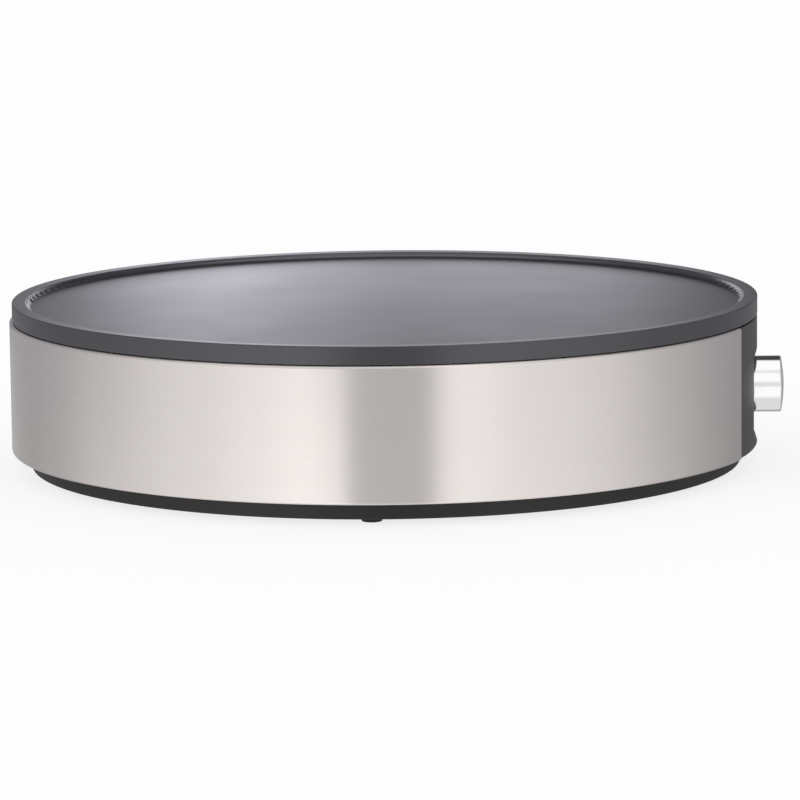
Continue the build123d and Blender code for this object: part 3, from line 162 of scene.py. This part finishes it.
def put(tree, socket, value):
    """Link a wrapped socket, or set a plain value."""
    if isinstance(value, Socket):
        tree.links.new(value.link, socket)
    elif isinstance(value, tuple) and socket.type == "RGBA" and len(value) == 3:
        socket.default_value = (*value, 1.0)
    else:
        socket.default_value = value


class Graph:
    """The node tree of one material or of the world."""

    def __init__(self, tree):
        self.tree = tree
        tree.nodes.clear()

    def node(self, kind, settings=None, output=0, **values):
        """Add a node, set its options, then its sockets by name. Underscores stand for spaces."""
        made = self.tree.nodes.new(kind)
        for name, value in (settings or {}).items():
            setattr(made, name, value)
        for name, value in values.items():
            put(self.tree, made.inputs[name.replace("_", " ")], value)
        return Socket(self.tree, made.outputs[output]) if made.outputs else None

    def ramp(self, factor, stops, interpolation="LINEAR"):
        """Grey ramp: pairs of position and level."""
        made = self.tree.nodes.new("ShaderNodeValToRGB")
        made.color_ramp.interpolation = interpolation
        marks = made.color_ramp.elements
        marks.remove(marks[1])
        marks[0].position = stops[0][0]
        for place, level in stops[1:]:
            marks.new(place)
        for mark, (place, level) in zip(marks, stops):
            mark.color = (level, level, level, 1.0)
        put(self.tree, made.inputs[0], factor)
        return Socket(self.tree, made.outputs[0])

    def split(self, vector):
        """The three parts of a vector."""
        made = self.tree.nodes.new("ShaderNodeSeparateXYZ")
        put(self.tree, made.inputs[0], vector)
        return [Socket(self.tree, part) for part in made.outputs]

    def ray(self, kind):
        """1 for rays of that kind and 0 for others."""
        return self.node("ShaderNodeLightPath", output="Is %s Ray" % kind)

    def place(self, scale=(1, 1, 1)):
        """Object coordinates, stretched."""
        coordinates = self.node("ShaderNodeTexCoord", output="Object")
        return self.node("ShaderNodeMapping", Vector=coordinates, Scale=scale)

    def noise(self, vector, scale, detail=4.0, roughness=0.5):
        return self.node("ShaderNodeTexNoise", output="Fac", Vector=vector, Scale=scale, Detail=detail,
                         Roughness=roughness)

    def mix(self, factor, first, second):
        """Blend two colours or two directions."""
        made = self.tree.nodes.new("ShaderNodeMix")
        made.data_type = "RGBA"
        for index, value in ((0, factor), (6, first), (7, second)):
            put(self.tree, made.inputs[index], value)
        return Socket(self.tree, made.outputs[2])

    def blend(self, factor, first, second):
        """Blend two shaders."""
        made = self.tree.nodes.new("ShaderNodeMixShader")
        for index, value in enumerate((factor, first, second)):
            put(self.tree, made.inputs[index], value)
        return Socket(self.tree, made.outputs[0])

    def bump(self, height, distance, strength, **values):
        """Relief on the surface: its height map, its depth in metres and how strongly it shows."""
        return self.node("ShaderNodeBump", Height=height, Distance=distance, Strength=strength, **values)


def finish(name, build):
    """A material from a function that takes the graph and returns a shader or the shader's values."""
    material = bpy.data.materials.new(name)
    material.use_nodes = True
    graph = Graph(material.node_tree)
    made = build(graph)
    if isinstance(made, dict):
        made = graph.node("ShaderNodeBsdfPrincipled", **made)
    graph.node("ShaderNodeOutputMaterial", Surface=made)
    return material


finishes = {}
print("shader helpers ready")

# %% [markdown]
# ## The brushed steel band
# The band is a strip of stainless steel that was drawn under an abrasive belt before it was rolled
# round. The belt leaves fine grooves along the strip, so highlights are smeared across them, up and
# down, and stay crisp along them. Anisotropic reflection does that, turned a quarter. The grooves
# themselves are noise that is stretched along the strip: the band lies at one radius, so a noise
# with short steps in height and long ones sideways is enough, and it has no seam.

# %% Brushed steel
def brushed_steel(graph):
    hairlines = graph.noise(graph.place(scale=(26, 26, 5200)), 1.0, detail=3.0, roughness=0.6)
    streaks = graph.noise(graph.place(scale=(7, 7, 900)), 1.0, detail=4.0, roughness=0.65)
    clouds = graph.noise(graph.place(scale=(10, 10, 24)), 1.0, detail=2.0)
    tone = (0.5 * hairlines + 0.5 * streaks).clamp()
    return {
        "Base_Color": graph.mix(tone, (0.780, 0.731, 0.708), (0.866, 0.817, 0.795)),
        "Metallic": 1.0,
        "Roughness": 0.27 + 0.07 * (hairlines - 0.5) + 0.04 * (clouds - 0.5),
        "Anisotropic": 0.97,
        "Anisotropic_Rotation": 0.25,
        "Normal": graph.bump(tone, 0.00002, 0.25),
    }


finishes["band"] = finish("brushed_steel", brushed_steel)

# %% [markdown]
# ## The non-stick coating
# The plate is cast aluminium, blasted and sprayed with a dark non-stick coating. The coating follows
# the blasted metal, so it has a very fine grain and a silky gloss that turns bright where one looks
# along it. The grain drives the colour, the roughness and a small bump, and a broad, faint cloud
# keeps the big surface from looking like one flat tone.
#
# The round at the foot of the rim is a slice of a ring, and its mesh has few, long facets. There the
# finish works out the true direction of the surface: it points at the circle in the ring's core.

# %% Non-stick coating
WELL_FLOOR = 77.2 * MM          # the cooking surface
WELL_EDGE = 165.713 * MM        # radius at which the round at the foot of the rim starts
WELL_ROUND = 2.6 * MM
SLOPE_START = (168.186 * MM, 78.993 * MM)       # radius and height at which it meets the rim's slope
SLOPE_END = (168.34 * MM, 79.33 * MM)           # where the rim's top edge starts to turn
SWITCH = 1e6                    # makes any length above nothing a full 1


def rim_normal(graph):
    """The mesh's own normal, but the true one on the round and the slope inside the rim."""
    x, y, z = graph.split(graph.place())
    across = (x * x + y * y).root()
    inward = (WELL_EDGE - across.at_most(SLOPE_START[0])) / across
    upward = WELL_FLOOR + WELL_ROUND - z.at_most(SLOPE_START[1])
    to_core = graph.node("ShaderNodeCombineXYZ", X=x * inward, Y=y * inward, Z=upward)
    exact = graph.node("ShaderNodeVectorMath", {"operation": "NORMALIZE"}, Vector=to_core)
    to_world = {"vector_type": "NORMAL", "convert_from": "OBJECT", "convert_to": "WORLD"}
    true_normal = graph.node("ShaderNodeVectorTransform", to_world, Vector=exact)
    inside = 1.0
    for room in (across - WELL_EDGE, SLOPE_END[0] - across, z - WELL_FLOOR, SLOPE_END[1] - z):
        inside = inside * (room * SWITCH).clamp()
    return graph.mix(inside, graph.node("ShaderNodeNewGeometry", output="Normal"), true_normal)


def coating(graph):
    place = graph.place()
    grain = graph.noise(place, 1500.0, detail=3.0, roughness=0.6)
    patches = graph.noise(place, 22.0, detail=3.0)
    return {
        "Base_Color": graph.mix(grain, (0.007, 0.007, 0.008), (0.018, 0.017, 0.020)),
        "Metallic": 0.0,
        "IOR": 1.95,
        "Specular_Tint": (0.94, 0.93, 1.0),
        "Roughness": 0.30 + 0.08 * (grain - 0.5) + 0.05 * (patches - 0.5),
        "Normal": graph.bump(grain, 0.00003, 0.4, Normal=rim_normal(graph)),
    }


finishes["plate"] = finish("plate_coating", coating)

# %% [markdown]
# ## Black plastics and rubber
# The base and the control panel come out of steel moulds with a spark-eroded surface, which gives a
# fine, even grain. The panel is a little browner and shinier than the base, and the feet are soft
# rubber with a dusty bloom. The knob's pointer is moulded as well. One function makes them all,
# because only their tones, their gloss and the size of the grain differ.

# %% Moulded black finishes
def moulded(dark, light, gloss, grain_scale, depth):
    """A finish with a mould's grain: tones, roughness, grain size and depth of the grain."""
    def build(graph):
        place = graph.place()
        grain = graph.noise(place, grain_scale, detail=4.0, roughness=0.65)
        bloom = graph.noise(place, 35.0, detail=3.0)
        return {
            "Base_Color": graph.mix((0.7 * grain + 0.3 * bloom).clamp(), dark, light),
            "Roughness": gloss + 0.12 * (grain - 0.5) + 0.08 * (bloom - 0.5),
            "Normal": graph.bump(grain, depth, 0.6),
        }
    return build


finishes["panel"] = finish("panel_plastic", moulded(
    (0.030, 0.026, 0.025), (0.055, 0.049, 0.047), gloss=0.42, grain_scale=1900.0, depth=0.00004))
finishes["base"] = finish("base_plastic", moulded(
    (0.006, 0.0045, 0.0045), (0.015, 0.012, 0.012), gloss=0.50, grain_scale=1700.0, depth=0.00004))
finishes["rubber"] = finish("foot_rubber", moulded(
    (0.014, 0.014, 0.014), (0.034, 0.033, 0.032), gloss=0.78, grain_scale=1200.0, depth=0.00005))
finishes["pointer"] = finish("pointer_plastic", moulded(
    (0.012, 0.012, 0.012), (0.026, 0.026, 0.026), gloss=0.45, grain_scale=2200.0, depth=0.00002))

# %% [markdown]
# ## The chrome knob and the lamps
# The knob is moulded in plastic and plated with chrome over a bright nickel. Plating levels the
# surface, so it is nearly a mirror, with only a long, weak waviness and a few faint wiping marks. The
# lamps' lenses are glossy mouldings in a deep colour.

# %% Chrome and lenses
def chrome(graph):
    place = graph.place()
    waves = graph.noise(place, 160.0, detail=1.0)
    wiping = graph.noise(graph.place(scale=(900, 60, 900)), 1.0, detail=2.0)
    return {
        "Base_Color": graph.mix(waves, (0.86, 0.86, 0.87), (0.90, 0.90, 0.91)),
        "Metallic": 1.0,
        "Roughness": 0.07 + 0.05 * wiping,
        "Normal": graph.bump(waves, 0.00002, 0.3),
    }


def lens(tint, glow):
    """A moulded lamp lens: deep colour, a smooth face and a faint ribbing inside."""
    def build(graph):
        ribs = graph.noise(graph.place(scale=(2400, 2400, 2400)), 1.0, detail=1.0)
        depth = graph.noise(graph.place(), 300.0, detail=2.0)
        return {
            "Base_Color": graph.mix(depth, tint, glow),
            "Roughness": 0.14 + 0.06 * ribs,
            "Coat_Weight": 0.6 + 0.2 * depth,
            "Coat_Roughness": 0.06,
            "Normal": graph.bump(ribs, 0.00003, 0.4),
        }
    return build


finishes["knob"] = finish("knob_chrome", chrome)
finishes["red_lens"] = finish("red_lens", lens((0.34, 0.012, 0.010), (0.62, 0.035, 0.022)))
finishes["green_lens"] = finish("green_lens", lens((0.014, 0.20, 0.035), (0.05, 0.42, 0.09)))

# %% [markdown]
# ## The metals inside
# What the housing hides still gets its real finish, because the plate and the base come off when the
# part is looked at in pieces. Sheet metal has a rolling grain, a zinc plating has pale crystals, and
# the heater's sheath carries a dark, blotchy oxide from its first heating. All are one recipe with
# other tones: a worn tint over the metal, with a roughness that follows it.

# %% Metals inside
def worn_metal(dark, light, gloss, patch_scale, grain=(1, 1, 1)):
    """Bare or plated metal: tones, roughness, size of its patches and the direction of its grain."""
    def build(graph):
        patches = graph.noise(graph.place(), patch_scale, detail=5.0, roughness=0.6)
        lines = graph.noise(graph.place(scale=tuple(900 * g for g in grain)), 1.0, detail=3.0)
        blend = graph.ramp(patches, ((0.3, 0.0), (0.7, 1.0)), "EASE")
        return {
            "Base_Color": graph.mix((0.75 * blend + 0.25 * lines).clamp(), dark, light),
            "Metallic": 1.0,
            "Roughness": gloss + 0.14 * (patches - 0.5) + 0.10 * (lines - 0.5),
            "Normal": graph.bump(lines, 0.00002, 0.4),
        }
    return build


finishes["steel"] = finish("zinc_plate", worn_metal(
    (0.50, 0.51, 0.52), (0.68, 0.68, 0.67), gloss=0.34, patch_scale=420.0))
finishes["element"] = finish("heater_sheath", worn_metal(
    (0.16, 0.14, 0.13), (0.36, 0.33, 0.30), gloss=0.48, patch_scale=130.0))
finishes["reflector"] = finish("bright_sheet", worn_metal(
    (0.70, 0.71, 0.72), (0.82, 0.82, 0.83), gloss=0.26, patch_scale=45.0, grain=(0.06, 1, 1)))
finishes["copper"] = finish("copper_tube", worn_metal(
    (0.52, 0.24, 0.13), (0.78, 0.42, 0.27), gloss=0.32, patch_scale=240.0))
finishes["brass"] = finish("plain_brass", worn_metal(
    (0.58, 0.42, 0.17), (0.80, 0.62, 0.30), gloss=0.30, patch_scale=300.0))
finishes["fuse"] = finish("fuse_case", worn_metal(
    (0.62, 0.62, 0.60), (0.78, 0.78, 0.76), gloss=0.28, patch_scale=200.0, grain=(0.2, 0.2, 1)))

# %% [markdown]
# ## Ceramic, mouldings and sleeves
# Insulators are fired ceramic, the thermostat's body is a brown phenolic moulding filled with mineral
# grains, and the terminal block is natural nylon. The leads have braided glass sleeves, so they show
# a small weave. The weave is two sine waves that cross, one along each diagonal.

# %% Insulators and wire sleeves
def grained(dark, light, gloss, speck_scale, depth):
    """Ceramic or filled plastic: tones, roughness, size and depth of its grains."""
    def build(graph):
        place = graph.place()
        specks = graph.noise(place, speck_scale, detail=6.0, roughness=0.7)
        stain = graph.noise(place, 60.0, detail=2.0)
        return {
            "Base_Color": graph.mix((0.6 * specks + 0.4 * stain).clamp(), dark, light),
            "Roughness": gloss + 0.15 * (specks - 0.5),
            "Normal": graph.bump(specks, depth, 0.6),
        }
    return build


def braided(dark, light):
    """A glass braid: two sets of threads that cross at a slant."""
    def build(graph):
        x, y, z = graph.split(graph.place(scale=(5200, 5200, 5200)))
        one = (x + y + z).sine()
        other = (x - y + z).sine()
        threads = (0.5 + 0.5 * one * other).clamp()
        dust = graph.noise(graph.place(), 150.0, detail=3.0)
        return {
            "Base_Color": graph.mix((0.75 * threads + 0.25 * dust).clamp(), dark, light),
            "Roughness": 0.62 + 0.2 * (threads - 0.5),
            "Normal": graph.bump(threads, 0.00006, 0.5),
        }
    return build


finishes["ceramic"] = finish("fired_ceramic", grained(
    (0.70, 0.66, 0.58), (0.86, 0.83, 0.77), gloss=0.55, speck_scale=900.0, depth=0.00004))
finishes["moulding"] = finish("phenolic", grained(
    (0.060, 0.044, 0.036), (0.15, 0.12, 0.10), gloss=0.45, speck_scale=1100.0, depth=0.00003))
finishes["terminal_block"] = finish("nylon_block", grained(
    (0.72, 0.71, 0.67), (0.86, 0.85, 0.82), gloss=0.42, speck_scale=700.0, depth=0.00002))
finishes["sleeve"] = finish("crimp_sleeve", grained(
    (0.58, 0.57, 0.52), (0.74, 0.73, 0.69), gloss=0.50, speck_scale=800.0, depth=0.00003))
for colour, dark, light in (("brown", (0.13, 0.045, 0.016), (0.27, 0.11, 0.045)),
                            ("blue", (0.015, 0.06, 0.27), (0.04, 0.14, 0.48)),
                            ("green", (0.22, 0.34, 0.02), (0.42, 0.56, 0.06)),
                            ("grey", (0.28, 0.28, 0.28), (0.46, 0.46, 0.45))):
    finishes["wire_" + colour] = finish("braid_" + colour, braided(dark, light))
print("finishes:", len(finishes))

# %% [markdown]
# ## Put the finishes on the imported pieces
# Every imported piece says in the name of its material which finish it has. The mesh is left alone and
# only the material in its slots is changed.

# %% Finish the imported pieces
for name, piece in sorted(nodes.items()):
    for slot in piece.material_slots:
        slot.material = finishes[slot.material.name.split(".")[0]]
print("finished", len(nodes), "packed pieces")

# %% [markdown]
# ## The dial's print
# The flat of the panel has a scale round the knob: long marks with the numbers 0 to 5, and short
# marks between them. On the real part they are pad printed, a layer of white ink about four
# hundredths of a millimetre thick. Each mark is a disc that is pulled out to a bar with round ends
# and given the ink's thickness, so that it catches light as ink does. Its faces are made one by one,
# because an extrude operator may list them in another order on the next run.

# %% Print marks round the knob
INK = 0.04 * MM
DIAL_Y = -172.5 * MM            # the flat of the panel
DIAL_START, DIAL_SWEEP = -135.0, 270.0
LAST_NUMBER = 5
STEPS_PER_NUMBER = 4
STEPS = LAST_NUMBER * STEPS_PER_NUMBER
MARK_RING = 14.3 * MM           # inner ends of the marks
LONG_MARK = (1.0 * MM, 0.42 * MM)               # length and width
SHORT_MARK = (0.45 * MM, 0.26 * MM)
MARK_SEGMENTS = 20


def mesh_piece(name, mesh, material, body):
    """An object at the origin that rides on a body and takes its finish from a slot."""
    piece = bpy.data.objects.new(name, mesh)
    bpy.context.collection.objects.link(piece)
    mesh.materials.clear()
    mesh.materials.append(material)
    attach(piece, body)
    return piece


def dial_place(turn, ring):
    """Matrix from a drawing in the XY plane, its up away from the knob, to the panel's flat."""
    upright = Matrix.Rotation(radians(90), 4, "X")          # the drawing faces the front
    spun = Matrix.Rotation(radians(turn), 4, "Y")           # clockwise, seen from the front
    middle = Matrix.Translation((knob_mid.x, DIAL_Y, knob_mid.z))
    return middle @ spun @ upright @ Matrix.Translation((0, ring, 0))


def add_mark(bm, turn, length, width):
    """One bar with round ends: corners on the panel, corners on the ink's face, then the faces."""
    place = dial_place(turn, MARK_RING)
    rings = []
    for height in (0, INK):
        ring = []
        for corner in range(MARK_SEGMENTS):
            angle = 2 * pi * corner / MARK_SEGMENTS
            outer_half = abs(corner - MARK_SEGMENTS / 2) > MARK_SEGMENTS / 4
            along = cos(angle) * width / 2 + (length if outer_half else 0)
            ring.append(bm.verts.new(place @ Vector((-sin(angle) * width / 2, along, height))))
        rings.append(ring)
    bottom, top = rings
    bm.faces.new(bottom[::-1])
    bm.faces.new(top)
    for corner in range(MARK_SEGMENTS):
        bm.faces.new((bottom[corner - 1], bottom[corner], top[corner], top[corner - 1]))


def print_ink(graph):
    grain = graph.noise(graph.place(), 2600.0, detail=3.0)
    return {
        "Base_Color": graph.mix(grain, (0.66, 0.66, 0.65), (0.78, 0.78, 0.77)),
        "Roughness": 0.50 + 0.1 * grain,
        "Normal": graph.bump(grain, 0.00001, 0.4),
    }


ink = finish("white_ink", print_ink)
marks = bmesh.new()
for step in range(STEPS + 1):
    length, width = SHORT_MARK if step % STEPS_PER_NUMBER else LONG_MARK
    add_mark(marks, DIAL_START + DIAL_SWEEP * step / STEPS, length, width)
mark_mesh = bpy.data.meshes.new("dial_marks")
marks.to_mesh(mark_mesh)
marks.free()
mesh_piece("dial_marks", mark_mesh, ink, "housing")
print("marks:", STEPS + 1, "faces:", len(mark_mesh.polygons))

# %% [markdown]
# ## The dial's numbers
# A number is text that is made a mesh before it is put in place. It sits outside the long marks and
# stays upright wherever it is on the dial.

# %% Print the numbers
NUMBER_RING = 17.2 * MM         # middles of the numbers
NUMBER_HEIGHT = 2.1 * MM
SIZE_PER_HEIGHT = 1.4           # a font's size is that of its tallest letter with room round it


def number_mesh(text, turn):
    """A number as a mesh on the panel's flat, upright at every place of the dial."""
    curve = bpy.data.curves.new("number", "FONT")
    curve.body = text
    curve.size = NUMBER_HEIGHT * SIZE_PER_HEIGHT
    curve.extrude = INK / 2
    curve.align_x, curve.align_y = "CENTER", "CENTER"
    drawn = bpy.data.objects.new("number", curve)
    bpy.context.collection.objects.link(drawn)
    mesh = bpy.data.meshes.new_from_object(drawn.evaluated_get(bpy.context.evaluated_depsgraph_get()))
    bpy.data.objects.remove(drawn)
    keep_upright = Matrix.Rotation(radians(turn), 4, "Z")
    mesh.transform(dial_place(turn, NUMBER_RING) @ keep_upright @ Matrix.Translation((0, 0, INK / 2)))
    return mesh


for number in range(LAST_NUMBER + 1):
    turn = DIAL_START + DIAL_SWEEP * number / LAST_NUMBER
    mesh_piece("dial_number_%d" % number, number_mesh(str(number), turn), ink, "housing")
print("numbers 0 to", LAST_NUMBER, "printed")

# %% [markdown]
# ## Floor and plain light
# The floor is a large white sheet, far wider than the picture. The camera sees it nearly at full
# white, as a sheet that is lit from under, with the object's soft shadow kept by mixing in its real
# shading. From below the sheet is clear, so that the part's underside can be looked at. The world
# lights everything evenly at nearly full level, so a colour renders about as it is written.

# %% Floor and world
FLOOR_R = 9.0
FLOOR_GLOW = 0.8                # share of plain white in what the camera sees of the floor
SKY_LEVEL = 0.96                # on the object; the camera and reflections see the sky at 1


def add_stage(name, mesh, material):
    """An object of the studio, which isn't part of the model."""
    piece = bpy.data.objects.new(name, mesh)
    bpy.context.collection.objects.link(piece)
    mesh.materials.append(material)
    return piece


def floor_finish(graph):
    seen = graph.ray("Camera")
    paper = graph.noise(graph.place(), 40.0, detail=2.0)
    tone = graph.mix(paper, (0.95, 0.95, 0.95), (0.97, 0.97, 0.97))
    shaded = graph.node("ShaderNodeBsdfDiffuse", Color=tone)
    lit = graph.node("ShaderNodeEmission", Color=(1.0, 1.0, 1.0), Strength=1.0)
    sheet = graph.blend(FLOOR_GLOW * seen, shaded, lit)
    below = graph.node("ShaderNodeNewGeometry", output="Backfacing")
    return graph.blend(below, sheet, graph.node("ShaderNodeBsdfTransparent"))


floor_bm = bmesh.new()
bmesh.ops.create_circle(floor_bm, cap_ends=True, segments=96, radius=FLOOR_R)
floor_mesh = bpy.data.meshes.new("floor")
floor_bm.to_mesh(floor_mesh)
floor_bm.free()
floor = add_stage("floor", floor_mesh, finish("floor_sheet", floor_finish))
floor.visible_glossy = False

world = bpy.data.worlds.new("studio")
bpy.context.scene.world = world
world.use_nodes = True
sky = Graph(world.node_tree)
seen_directly = (sky.ray("Camera") + sky.ray("Glossy") + sky.ray("Transmission")).clamp()
background = sky.node("ShaderNodeBackground", Color=(1.0, 1.0, 1.0),
                      Strength=SKY_LEVEL + (1.0 - SKY_LEVEL) * seen_directly)
sky.node("ShaderNodeOutputWorld", Surface=background)
bpy.context.scene.view_settings.view_transform = "Standard"
print("floor and world ready")

# %% [markdown]
# ## A light tent for the metal
# A bright metal object shows whatever stands round it. In a studio it stands in a tent of white cloth
# with grey strips hung in it, which draw dark lines on the metal and give it its shape. Here the tent
# is a sphere that only reflections can see. Its light depends on the direction, in three belts that
# blend into each other with height:
#
# - the low belt lights the steel band, with a grey strip on the camera's side, bright cloth on both
#   sides of it and a fall towards the back
# - the middle belt has bright windows behind the object, which shine along the plate with a cool tint
# - the high belt is dim behind the object, with a black flag behind the knob

# %% Light tent
TENT_R = 0.6
TENT_SEGMENTS, TENT_RINGS = 96, 48
LOW_LEVELS = (      # degrees from straight behind the object, seen from the camera, and the level
    (-180, 0.63), (-172, 0.61), (-169, 0.66), (-166, 1.05), (-159, 1.14), (-150, 1.03), (-132, 0.94),
    (-101, 0.67), (-79, 0.46), (-60, 0.33), (-42, 0.34), (-20, 0.40), (30, 0.54), (42, 0.44),
    (60, 0.42), (79, 0.55), (94, 0.75), (132, 0.98), (157, 1.32), (168, 1.30), (171.5, 0.70),
    (174, 0.63), (180, 0.63))
WINDOW_LEVELS = (
    (-180, 0.40), (-170, 0.42), (-166, 0.60), (-163, 0.86), (-155, 0.92), (-145, 0.84), (-120, 0.75),
    (-100, 0.50), (-50, 0.38), (-24, 0.30), (-18, 0.92), (-15, 1.40), (-12, 1.78), (-6, 1.82),
    (0, 1.74), (4.5, 2.25), (9, 2.95), (13, 2.60), (18.5, 1.00), (26, 0.24), (50, 0.40),
    (100, 0.50), (120, 0.75), (160, 0.95), (170, 0.50), (180, 0.40))
HIGH_LEVELS = (
    (-180, 0.75), (-170, 0.75), (-164, 1.12), (-155, 1.12), (-145, 0.80), (-120, 0.70), (-100, 0.50),
    (-60, 0.34), (-42, 0.28), (-36, 0.06), (-20, 0.06), (-16, 0.12), (-12, 0.15), (0, 0.16),
    (9, 0.22), (18.5, 0.18), (26, 0.20), (50, 0.36), (100, 0.50), (120, 0.70), (180, 0.75))
BRIGHTEST = 3.0                 # what a ramp's 1 stands for
ZENITH, UNDER = 1.12, 0.80      # levels at the top and at the bottom of the tent

# A blend starts at one height and is full after a rise, both in tent radii.
WINDOW_START, WINDOW_RISE = -0.02, 0.04
HIGH_START, HIGH_RISE = 0.21, 0.18
ZENITH_START, ZENITH_RISE = 0.82, 0.06
UNDER_START, UNDER_FALL = -0.60, 0.2
COOL_WHITE = (0.93, 0.91, 1.0)
COOL_TOP, COOL_FADE = 0.7, 5    # height at which the cool tint ends, and how fast it comes in below
COOL_SIDES = 4                  # how fast it comes in from the sides


def tent_light(graph):
    back = direction(CAMERA_AZIMUTH + 180)
    x, y, z = graph.split(graph.place(scale=(1 / TENT_R,) * 3))
    sideways = y * back.x - x * back.y
    backward = x * back.x + y * back.y
    turn = sideways.turn_from(backward) / (2 * pi) + 0.5
    belts = []
    for levels in (LOW_LEVELS, WINDOW_LEVELS, HIGH_LEVELS):
        stops = [(angle / 360 + 0.5, level / BRIGHTEST) for angle, level in levels]
        belts.append(graph.ramp(turn, stops) * BRIGHTEST)
    level, window, high = belts
    for start, rise, next_level in ((WINDOW_START, WINDOW_RISE, window), (HIGH_START, HIGH_RISE, high),
                                    (ZENITH_START, ZENITH_RISE, ZENITH)):
        level = level + (next_level - level) * ((z - start) / rise).clamp()
    level = level + (UNDER - level) * ((UNDER_START - z) / UNDER_FALL).clamp()
    cool = (backward * COOL_SIDES).clamp() * ((z - WINDOW_START) / WINDOW_RISE).clamp()
    cool = cool * ((COOL_TOP - z) * COOL_FADE).clamp()
    tint = graph.mix(cool, (1.0, 1.0, 1.0), COOL_WHITE)
    return graph.node("ShaderNodeEmission", Color=tint, Strength=level)


tent_bm = bmesh.new()
bmesh.ops.create_uvsphere(tent_bm, u_segments=TENT_SEGMENTS, v_segments=TENT_RINGS, radius=TENT_R)
tent_mesh = bpy.data.meshes.new("light_tent")
tent_bm.to_mesh(tent_mesh)
tent_bm.free()
tent = add_stage("light_tent", tent_mesh, finish("tent_cloth", tent_light))
tent.visible_camera = tent.visible_diffuse = tent.visible_transmission = False
tent.visible_volume_scatter = tent.visible_shadow = False
print("tent radius", TENT_R)
